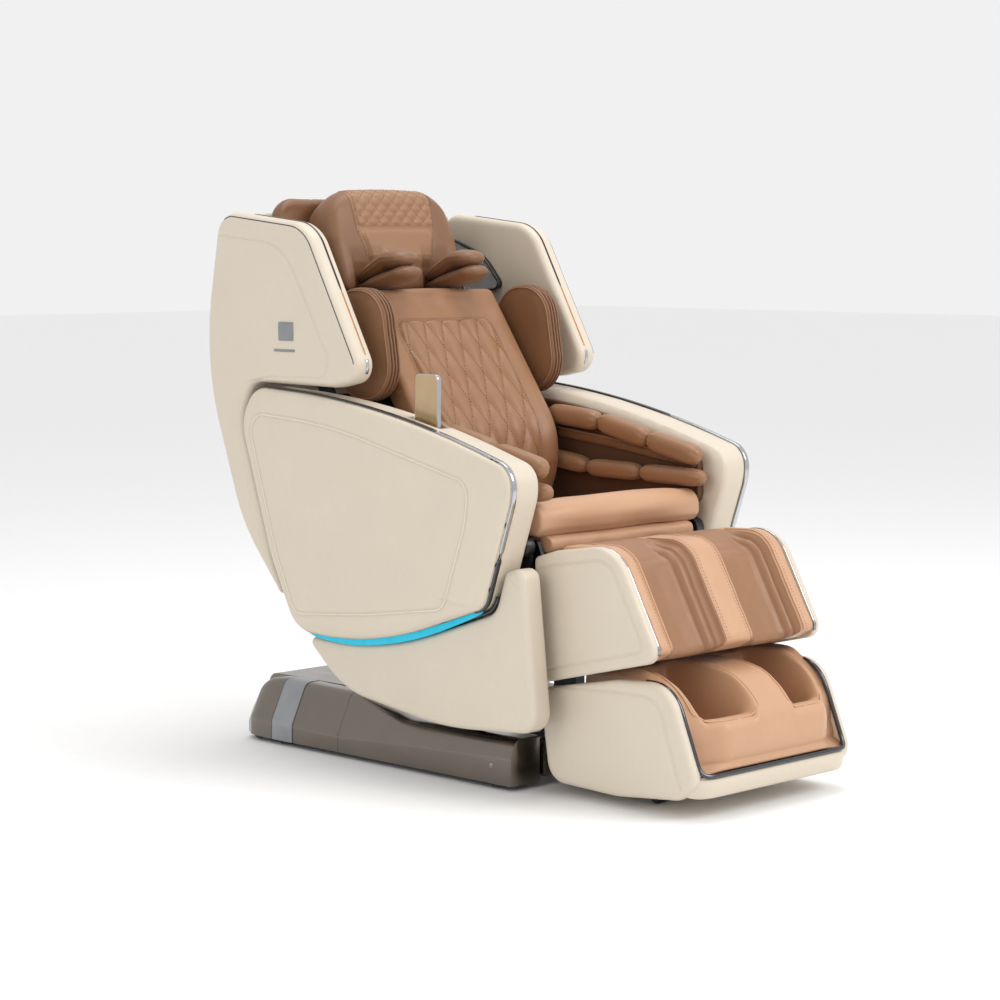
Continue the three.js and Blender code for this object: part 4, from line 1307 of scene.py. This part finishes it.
def wing(side, sign):
    """A sewn wing with its front line, copper strip, clip and edge, and two plain badges."""
    seam, low_seam = route(WING_SEAM), route(LOW_SEAM)
    shell = Plate(SHELL, SHELL_IN, SHELL_OUT, sign, edge=20, back_edge=14, spacing=14,
                  seams=[(seam, False), (low_seam, False)], seam_depth=1.4,
                  relief=lambda flat, d: 1.2 * smooth_step(d / 90) - 1.2)
    place(f"wing_{side}", "back", shell.build(), CREAM, slot="cream_upholstery",
          replaced=[f"back_shell_{side}"])
    stitch_piece(f"wing_stitches_{side}", "back", [shell.sewn(seam, False, by=3.4)], CREAM_THREAD)
    loop = outline(SHELL, 4)
    front = beside(part_of(loop, (560, 1232), (176, 876)), -0.5, False)
    dark_end, warm_end, clip_start = (
        int(len(front) * share) for share in (DARK_SHARE, WARM_SHARE, CLIP_SHARE))
    dark, warm, clip = (in_side(part, sign * WING_TRIM_AT) for part in (
        front[:dark_end], front[dark_end - 1:warm_end], front[clip_start:]))
    place(f"wing_line_{side}", "back", bar(dark, 5, 2.4, taper=0.05), GLOSS)
    place(f"wing_copper_{side}", "back", bar(warm, 3.6, 2.2), COPPER)
    place(f"wing_clip_{side}", "back", bar(clip, 8, 2.6, power=5), CHROME)
    outer = beside(part_of(loop, (640, 1243), (200, 905)), 9, False)
    place(f"wing_edge_{side}", "back",
          bar(shell.on(outer, lift=0.4), 2.6, 1.4, up=(0, 1, 0.4), sides=8), DARK_CHROME)
    for name, corners, rise in BADGES:
        middle = np.mean([c[:2] for c in corners], axis=0)[None]
        base = abs(float(shell.depth(middle)[0]))
        badge = Plate(corners, base - 1.5, base + rise, sign, edge=1.0, back_edge=0.2, step=2,
                      spacing=6, seams=[(outline(shrink(corners, 3.2, least=1), 2), True)]
                      if name == "plate" else (), seam_depth=0.8, seam_width=0.8)
        place(f"badge_{name}_{side}", "back", badge.build(), BRUSHED)


SPEAKER_AT = 318.0
DIAGONAL = 0.7071
WIRE_PITCH, WIRE_THICK, WIRE_REACH = 5.5, 2.0, 260


def speaker(side, sign):
    """A black frame round a woven wire mesh."""
    loop = outline(GRILLE, 4)
    frame_bar = bar(in_side(loop, sign * (SPEAKER_AT - 0.5)), 9, 6, closed=True, sides=12, power=3)
    wires = []
    middle = (loop.min(0) + loop.max(0)) / 2
    for way in (1, -1):
        for c in np.arange(-WIRE_REACH, WIRE_REACH, WIRE_PITCH):
            t = np.arange(-180, 180, 2.2)
            line = middle + np.column_stack([t + c, way * (t - c)]) * DIAGONAL
            within = inside(line, loop)
            runs = np.split(np.arange(len(t)), np.where(np.diff(within.astype(int)))[0] + 1)
            for run in runs:
                if len(run) > 4 and within[run].all():
                    weave = 0.45 * np.sin(math.pi * t[run] / WIRE_PITCH)
                    path = in_side(line[run], 0)
                    path[:, 0] = sign * (SPEAKER_AT - 2.4 - way * weave)
                    wires.append((*bar(path, WIRE_THICK, WIRE_THICK, sides=6, power=2), 0))
    points, faces, _ = merge(wires)
    place(f"speaker_frame_{side}", "back", frame_bar, GLOSS)
    place(f"speaker_mesh_{side}", "back", (points, faces), WIRE)


for side, sign in SIDES:
    wing(side, sign)
    speaker(side, sign)

cover_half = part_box("back_cover")[1].x / MM
COVER_SEAM_X, COVER_SEAM_Z = 212, 1080


def cover_shape(x, s, flat):
    """A full back cover, sewn down both sides and across below the top."""
    z = flat[:, 1]
    seams = (1.8 * bell(np.abs(x) - COVER_SEAM_X, 2.4)
             + 1.8 * bell(z - COVER_SEAM_Z, 2.4) * (np.abs(x) < COVER_SEAM_X))
    full = 2.2 * (1 - (x / cover_half) ** 2)
    return full - seams - 1.0


cover_stations = np.concatenate([sign * COVER_SEAM_X + np.linspace(-6, 6, 9)
                                 for sign in (-1, 1)])
cover = Pad(BACK_COVER, -cover_half, cover_half, edge=1.5, step=6, across=14, shape=cover_shape,
            dome=0.2, stations=cover_stations)
place("rear_cover", "back", cover.build(), CREAM, slot="cream_upholstery",
      replaced=["back_cover"])


# ---- Calf rest ---------------------------------------------------------------------------
CALF_IN, CALF_OUT = 252, 275
CALF_SEAM = [[-252, 480, 0], [-314, 498, 60], [-462, 524, 66], [-566, 340, 22], [-252, 264, 0]]
calf_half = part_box("calf_pad")[1].x / MM - 0.4
WELL = [
    (0, 0), (36, 0), (40, 1.5), (46, 10), (50, 13), (55, 12), (60, 15), (63, 21), (67, 19),
    (73, 20), (79, 25), (83, 31), (92, 34), (132, 37), (172, 35), (184, 31), (188, 24),
    (193, 19), (199, 17), (202, 19), (205, 12), (210, 7), (214, 1.5), (218, 0), (252, 0),
]
WELL_BENDS = (40, 50, 60, 70, 80, 90, 180, 190, 200, 210, 218)
WELL_TINT = (42, 212)
CALF_STITCHES = (29.5, 36.5, 217.5, 224.5)
CALF_PIPING = (-216.5, -40.0, 40.0, 216.5)
calf_outline = outline(CALF_RIM, 4)
calf_start = run_to(calf_outline, (-385, 541))
calf_end = run_to(calf_outline, (-588, 345))


def calf_shape(x, s, flat):
    """Two wells with ribbed sides, between a middle strip and two outer ones."""
    deep = np.interp(np.abs(x), *zip(*WELL))
    head_end = smooth_step((s - calf_start + 26) / (70 + 30 * bell(np.abs(x) - 130, 60)))
    foot_end = smooth_step((calf_end + 62 - s) / 48)
    crown = 2.5 * bell(x, 30) + 2 * bell(np.abs(x) - 234, 14)
    seams = 1.6 * (bell(np.abs(x) - 33, 1.6) + bell(np.abs(x) - 221, 1.6))
    soft = wave_noise(np.column_stack([x, flat]), 55, 31)
    return (-deep * head_end * foot_end + (crown - seams) * smooth_step((s - calf_start + 50) / 30)
            * foot_end + 0.7 * soft - 0.5)


calf_stations = np.unique([sign * (bend + by) for sign in (-1, 1) for bend in WELL_BENDS
                           for by in (-4, -2, 0, 2, 4)])
CALF_FRONT_WAY = np.array([-0.87, 0.49])


def calf_steer(s, out):
    """Round the nose the wells keep the direction of the top, so that they run out open."""
    share = (smooth_step((s - calf_end + 30) / 20) * smooth_step((calf_end + 80 - s) / 14))[:, None]
    steered = out * (1 - share) + CALF_FRONT_WAY * share
    return steered / np.linalg.norm(steered, axis=1)[:, None]


calf = Pad(CALF_RIM, -calf_half, calf_half, edge=7, step=5, across=7, shape=calf_shape,
           stations=calf_stations, dome=0.5, steer=calf_steer)
calf_points, calf_faces = calf.build()
calf_x = np.array([abs(np.mean(calf_points[f, 0])) for f in calf_faces])
calf_tint = ((calf_x > WELL_TINT[0]) & (calf_x < WELL_TINT[1])).astype(int)
place("calf_cushion", "calf", (calf_points, calf_faces), [TAN, MID], tints=calf_tint,
      slot="tan_leather", replaced=["calf_pad"], fill_=0.6)


def calf_lines():
    """Stitches on both sides of the seams along the three strips."""
    parts = []
    s = np.arange(calf_start + 20, calf_end + 6, 4.0)
    for sign in (-1, 1):
        for x in CALF_STITCHES:
            points, out = calf.on(np.full(len(s), sign * x), s)
            parts.append(stitches(points, out, radius=0.5))
    return parts


stitch_piece("calf_stitches", "calf", calf_lines())


def calf_piping():
    """A bead along each edge between the strips and the wells."""
    parts = []
    s = np.arange(calf_start - 24, calf_end + 10, 4.0)
    for x in CALF_PIPING:
        points, out = calf.on(np.full(len(s), x), s)
        parts.append((*bar(points + out * 0.8, 4.4, 4.4, sides=8, power=2, taper=0.02), 0))
    points, faces, _ = merge(parts)
    place("calf_piping", "calf", (points, faces), TAN)


calf_piping()

for side, sign in SIDES:
    seam = route(CALF_SEAM)
    panel = Plate(CALF_SIDE, CALF_IN + 0.3, CALF_OUT, sign, edge=9, back_edge=3, spacing=12,
                  seams=[(seam, False)], seam_depth=2.0)
    place(f"calf_shell_{side}", "calf", panel.build(), CREAM, slot="cream_upholstery",
          replaced=[f"calf_side_{side}"])
    stitch_piece(f"calf_side_stitches_{side}", "calf", [panel.sewn(seam, False, by=3.4)],
                 CREAM_THREAD)
    edge = beside(part_of(outline(CALF_SIDE, 4), (-405, 538), (-590, 342)), 1.0, False)
    place(f"calf_trim_{side}", "calf", bar(in_side(edge, sign * (CALF_IN + 2.5)), 5, 3.2,
                                           taper=0.02), CHROME)
    block = part_of(outline(CALF_SIDE, 3), (-586, 352), (-595, 330))
    place(f"calf_trim_end_{side}", "calf", bar(in_side(block, sign * (CALF_IN + 3)), 7, 4,
                                               power=5), BRUSHED)


# ---- Foot rest ---------------------------------------------------------------------------
FOOT_IN, FOOT_OUT = 234, 260
FOOT_CHEEK = [
    [-470, 270, 200], [-612, 276, 80], [-692, 78, 40], [-640, 40, 30], [-470, 24, 200],
    [-278, 30, 50], [-248, 226, 12],
]
FOOT_SEAM = [[-262, 190, 0], [-290, 236, 34], [-470, 246, 200], [-586, 246, 60],
             [-650, 66, 0]]
WELL_PROFILE = [
    [-662, 92], [-688, 116], [-696, 156], [-690, 188], [-668, 201], [-644, 190], [-620, 142],
    [-530, 127], [-448, 130], [-432, 262], [-402, 271], [-372, 260], [-390, 92],
]
HUMP_PROFILE = [
    [-662, 92], [-688, 116], [-696, 156], [-690, 196], [-672, 226], [-644, 252], [-606, 274],
    [-540, 286], [-470, 287], [-432, 283], [-402, 275], [-372, 260], [-390, 92],
]
FOOT_WELL_IN, FOOT_WELL_OUT = 56.0, 200.0
FOOT_ROUND = 17.0
FOOT_SIDE_FALL = [(92, 8), (112, 36), (150, 54), (226, 54), (290, 36)]


def spline(points, step_count):
    """A closed smooth line through points, with as many points between each pair."""
    points = np.asarray(points, float)
    count = len(points)
    found = []
    for i in range(count):
        p0, p1, p2, p3 = (points[(i + k) % count] for k in (-1, 0, 1, 2))
        for t in np.arange(step_count) / step_count:
            found.append(0.5 * ((2 * p1) + (p2 - p0) * t + (2 * p0 - 5 * p1 + 4 * p2 - p3) * t * t
                                + (3 * p1 - p0 - 3 * p2 + p3) * t ** 3))
    return np.array(found)


FOOT_STEPS = 22
well_line = spline(WELL_PROFILE, FOOT_STEPS)
hump_line = spline(HUMP_PROFILE, FOOT_STEPS)
foot_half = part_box("foot_pad")[1].x / MM


def foot_blend(x):
    """0 in a foot well and 1 on the hump between and beside them."""
    a = abs(x)
    inner = smooth_step((a - FOOT_WELL_IN + 4) / FOOT_ROUND)
    outer = smooth_step((FOOT_WELL_OUT - a + 4) / FOOT_ROUND)
    return 1 - float(inner * outer)


def foot_surface(x):
    """The outline of the foot cushion at one x: its front falls back towards both shells."""
    b = foot_blend(x)
    line = well_line * (1 - b) + hump_line * b
    side = smooth_step((abs(x) - 150) / (foot_half - 150))
    front = smooth_step((-520 - line[:, 0]) / 100)
    back = np.interp(line[:, 1], *zip(*FOOT_SIDE_FALL)) * front * side
    return line + np.column_stack([back, -front * side * 6])


def foot_pad():
    """The foot cushion, from side to side, with two open wells."""
    xs = [np.linspace(-foot_half, foot_half, 70)]
    for a in (FOOT_WELL_IN, FOOT_WELL_OUT):
        for sign in (-1, 1):
            xs.append(sign * a + np.linspace(-18, 18, 25))
    xs = np.unique(np.round(np.concatenate(xs), 2))
    xs = xs[(xs >= -foot_half) & (xs <= foot_half)]
    loops = []
    for x in xs:
        line = foot_surface(x)
        gap = min(x + foot_half, foot_half - x)
        pull = 8 - math.sqrt(max(0, 64 - (8 - min(gap, 8)) ** 2))
        loops.append(in_side(beside(line, pull), x))
    place("foot_cushion", "foot", rings(loops), TAN, slot="tan_leather", replaced=["foot_pad"],
          fill_=0.6)


foot_pad()

WELL_MOUTH = (3.55, 8.5)
MOUTH_MARGIN = 9


def foot_piping():
    """A piped seam round the mouth of each foot well."""
    parts = []
    first, last = (round(corner * FOOT_STEPS) for corner in WELL_MOUTH)
    for sign in (-1, 1):
        near = sign * (FOOT_WELL_IN - MOUTH_MARGIN)
        far = sign * (FOOT_WELL_OUT + MOUTH_MARGIN)
        path = [(near, *foot_surface(near)[k]) for k in range(last, first, -2)]
        path += [(x, *foot_surface(x)[first]) for x in np.linspace(near, far, 40)]
        path += [(far, *foot_surface(far)[k]) for k in range(first, last, 2)]
        path = smoothed(resample(np.array(path), 3, closed=False), 10)
        path[:, 2] += 0.8
        parts.append((*bar(path, 3.6, 3.6, sides=8, power=2, taper=0.02), 0))
    points, faces, _ = merge(parts)
    place("foot_piping", "foot", (points, faces), TAN)


foot_piping()


def foot_shell():
    """The foot rest's two sewn sides, its tray, its front lip and its shelf."""
    for side, sign in SIDES:
        seam = route(FOOT_SEAM)
        panel = Plate(FOOT_CHEEK, FOOT_IN + 0.2, FOOT_OUT, sign, edge=12, back_edge=3, spacing=12,
                      seams=[(seam, False)], seam_depth=2.0)
        piece = place(f"foot_side_{side}", "foot", panel.build(), CREAM, slot="cream_upholstery")
        stitch_piece(f"foot_side_stitches_{side}", "foot", [panel.sewn(seam, False, by=3.4)],
                     CREAM_THREAD)
        if sign < 0:
            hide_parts("foot_shell")
    tray = Pad(FOOT_TRAY, -FOOT_IN, FOOT_IN, edge=0.8, step=4, across=20, dome=0.1)
    place("foot_tray", "foot", tray.build(), CREAM, slot="cream_upholstery")
    plan = route([[-246, -588, 0], [-246, -687, 58], [246, -687, 58], [246, -588, 0]], 4)
    rise = 13 * smooth_step((-plan[:, 1] - 600) / 80)
    lip_path = np.column_stack([plan, 80 - rise])
    lip = bar(lip_path, 44, 23, up=(0, -0.25, 1), sides=24, power=3, taper=0.02)
    place("foot_lip", "foot", lip, CREAM, slot="cream_upholstery")
    shelf = Plate([[-386, 128, 2], [-262, 128, 2], [-262, 140, 2], [-386, 140, 2]], -FOOT_IN,
                  FOOT_IN, 1, edge=1.5, back_edge=1.5, step=4, spacing=9)
    place("foot_shelf", "foot", shelf.build(), STEEL, sharp=40)


foot_shell()


def foot_trim():
    """A dark strip between the shell and the cushion, down both sides and along the lip."""
    edge = part_of(outline(FOOT_CHEEK, 4)[::-1], (-688, 92), (-540, 278))[::-1]
    edge = beside(edge, 1.0, False)
    left, right = in_side(edge, -FOOT_IN - 2), in_side(edge[::-1], FOOT_IN + 2)
    y, z = edge[-1]
    plan = route([[-FOOT_IN - 2, y, 0], [-FOOT_IN + 4, y - 14, 16], [FOOT_IN - 4, y - 14, 16],
                  [FOOT_IN + 2, y, 0]], 4)
    across = np.column_stack([plan, np.full(len(plan), z)])
    path = smoothed(resample(np.vstack([left, across[1:-1], right]), 4, closed=False), 36)
    place("foot_trim", "foot", bar(path, 9, 9, up=(0, -0.92, 0.39), sides=12, power=3),
          DARK_CHROME)


foot_trim()

SLIDE_SLOPE = math.radians(16)
SLIDE_AT = (-314, 340)
SLIDE_X = 150
SLIDE_PROFILE = ((-216, 9), (-214, 16), (-196, 16), (-194, 11), (80, 11), (84, 9))


def slide_rods():
    """The two rods that carry the foot rest, with collars at their lower ends."""
    parts = []
    angles = circle(24)
    for sign in (-1, 1):
        loops = []
        for z, r in SLIDE_PROFILE:
            x, y = sign * SLIDE_X + r * np.cos(angles), r * np.sin(angles)
            c, s = math.cos(SLIDE_SLOPE), math.sin(SLIDE_SLOPE)
            loops.append(np.column_stack([x, SLIDE_AT[0] + y * c + z * s,
                                          SLIDE_AT[1] - y * s + z * c]))
        parts.append((*rings(loops), 0))
    points, faces, _ = merge(parts)
    place("slide_rods", "foot", (points, faces), STEEL, sharp=40)


slide_rods()


def castor_forks():
    """Cheeks and axle of each castor, under the foot rest."""
    parts = []
    for side, sign in SIDES:
        low, high = (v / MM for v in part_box(f"foot_castor_{side}"))
        y, z = (low.y + high.y) / 2, (low.z + high.z) / 2
        axle = [(low.x - 7, 2), (low.x - 6, 4), (high.x + 6, 4), (high.x + 7, 2)]
        parts.append((*turned_x(axle, y, z, 20), 0))
        for x in (low.x - 5, high.x + 1):
            cheek = Plate([[y - 9, z - 8, 6], [y + 9, z - 8, 6], [y + 14, 40, 2], [y - 14, 40, 2]],
                          x, x + 4, 1, edge=0.8, back_edge=0.8, step=2.5, spacing=6)
            parts.append((*cheek.build(), 1))
    points, faces, tints = merge(parts)
    place("castor_forks", "foot", (points, faces), [STEEL, BLACK], tints=tints, sharp=40)


castor_forks()


# ---- Base --------------------------------------------------------------------------------
RAIL_IN = 213
RAIL = np.array([
    [-210, 300, 73, 288, 113], [-185, 302, 73, 290, 115], [150, 302, 62, 272, 112],
    [344, 302, 50, 258, 146], [600, 302, 56, 256, 150], [655, 298, 56, 254, 140],
    [684, 284, 48, 252, 110], [696, 262, 30, 250, 60],
], float)
RAIL_FLOOR = 12
RAIL_WALL = 5
RAIL_SPAN = (-209.5, 690)
RAIL_ENDS = ((-210, -204), (686, 695.5))
RAIL_BAND = (504, 574)
RAIL_JOINTS = (344, 500.5, 577)
SCREW_AT = (-150, 52)
SCREW_PROFILE = ((299.6, 4.2), (302.6, 4.2), (303.2, 3.2), (302.0, 2.0))
HINGE_CAP_AT = (-222, 528)
HINGE_CAP_PROFILE = ((262, 19), (263.5, 21.4), (285, 21.6), (287.5, 19.5), (288, 12))


def rail_line(y, grow=0.0):
    """The outside of a rail cover at one y, from its inner foot over the top, as [x, z]."""
    near = np.clip(y + np.linspace(-24, 24, 9), RAIL[0, 0], RAIL[-1, 0])
    out, shoulder, slope, top = (np.interp(near, RAIL[:, 0], RAIL[:, k]).mean()
                                 for k in (1, 2, 3, 4))
    corners = [[RAIL_IN, RAIL_FLOOR, 0], [RAIL_IN, top, 5], [slope, top, 26],
               [out, shoulder, 16], [out, RAIL_FLOOR, 0]]
    line = route(corners, 2.0)
    line = resample(line, np.linalg.norm(np.diff(line, axis=0), axis=1).sum() / 59, closed=False)
    return beside(line[:60], grow, closed=False)


def rail_sleeve(start, end, grow, wall, sign, stations):
    """A hollow length of rail cover from one y to another."""
    loops = []
    for y in np.linspace(start, end, stations):
        outer, inner = rail_line(y, grow), rail_line(y, grow - wall)
        ring = np.vstack([outer, inner[::-1]])
        loops.append(np.column_stack([sign * ring[:, 0], np.full(len(ring), y), ring[:, 1]]))
    return rings(loops)


def rail(side, sign):
    """A rail cover with its ends, bright band, joint lines, screw and hinge cap."""
    sleeve = rail_sleeve(*RAIL_SPAN, 0, RAIL_WALL, sign, 150)
    ends = []
    for y0, y1 in RAIL_ENDS:
        loops = []
        for y, by in ((y0, 1.5), (y0 + 1.2, 0), (y1 - 1.2, 0), (y1, 1.5)):
            line = rail_line(min(y, 695), -by)
            loops.append(np.column_stack([sign * line[:, 0], np.full(len(line), y), line[:, 1]]))
        ends.append((*rings(loops), 0))
    points, faces, tints = merge([(*sleeve, 0), *ends])
    place(f"rail_cover_{side}", "base", (points, faces), GUNMETAL, slot="casting",
          replaced=[f"base_rail_{side}"], sharp=50)
    band = rail_sleeve(*RAIL_BAND, 0.7, 1.5, sign, 12)
    place(f"rail_band_{side}", "base", band, BRUSHED, sharp=50)
    joints = [(*rail_sleeve(y, y + 1.6, 0.25, 1.5, sign, 2), 0) for y in RAIL_JOINTS]
    points, faces, _ = merge(joints)
    place(f"rail_joints_{side}", "base", (points, faces), GLOSS)
    screw = turned_x([(sign * x, r) for x, r in SCREW_PROFILE], *SCREW_AT, 20)
    place(f"rail_screw_{side}", "base", screw, CHROME, sharp=30)
    cap = turned_x([(sign * x, r) for x, r in HINGE_CAP_PROFILE], *HINGE_CAP_AT, 40)
    place(f"hinge_cap_{side}", "seat", cap, BLACK, sharp=50)


for side, sign in SIDES:
    rail(side, sign)


# ---- Hard pieces that keep their CAD shape -----------------------------------------------
FINISHES = {
    STEEL: ["base_frame", "seat_frame", "back_frame", "calf_frame", "tilt_actuator",
            "massage_carriage", "roller_arm_left", "roller_arm_right"],
    GUNMETAL: ["base_front_cover", "base_rear_cover"],
    BLACK: ["power_module", "air_pump", "sole_roller", "speaker_grille_left",
            "speaker_grille_right"],
    RED: ["power_switch"],
    RUBBER: ["transport_wheel_left", "transport_wheel_right", "foot_castor_left",
             "foot_castor_right"],
    CHROME: ["arm_trim_left", "arm_trim_right"],
    IVORY: ["massage_roller_upper_left", "massage_roller_upper_right",
            "massage_roller_lower_left", "massage_roller_lower_right"],
}
for look, names in FINISHES.items():
    for name in names:
        nodes[name].data.materials.clear()
        nodes[name].data.materials.append(look)


# ---- Floor and light ---------------------------------------------------------------------
FLOOR_REACH = 30000
SURROUND = 0.88
LAMPS = (
    ("key", (1.6, -4.2, 3.6), (0, 0, 0.5), 2.4, 105),
    ("side", (-4.5, -0.8, 2.4), (0, 0, 0.6), 2.2, 26),
    ("top", (0.6, 0.2, 4.4), (0, 0, 0.4), 2.2, 55),
)


def studio():
    """A pale floor, a white surround and three soft lights."""
    floor_look = plastic("pale_floor", (0.93, 0.93, 0.93), 0.75, tone=0.01, texture=60)
    corners = [(u * FLOOR_REACH, v * FLOOR_REACH, 0) for u, v in ((-1, -1), (1, -1), (1, 1), (-1, 1))]
    plane = make("floor", corners, [[0, 1, 2, 3]], floor_look, closed=False)
    world = bpy.data.worlds.new("studio")
    bpy.context.scene.world = world
    world.use_nodes = True
    world.node_tree.nodes["Background"].inputs["Color"].default_value = (1, 1, 1, 1)
    world.node_tree.nodes["Background"].inputs["Strength"].default_value = SURROUND
    for name, at, aim, size, power in LAMPS:
        lamp_data = bpy.data.lights.new(name, "AREA")
        lamp_data.energy, lamp_data.size = power, size
        lamp_object = bpy.data.objects.new(name, lamp_data)
        lamp_object.location = at
        way = Vector(aim) - Vector(at)
        lamp_object.rotation_euler = way.to_track_quat("-Z", "Y").to_euler()
        bpy.context.collection.objects.link(lamp_object)
    bpy.context.scene.view_settings.view_transform = "Standard"


studio()
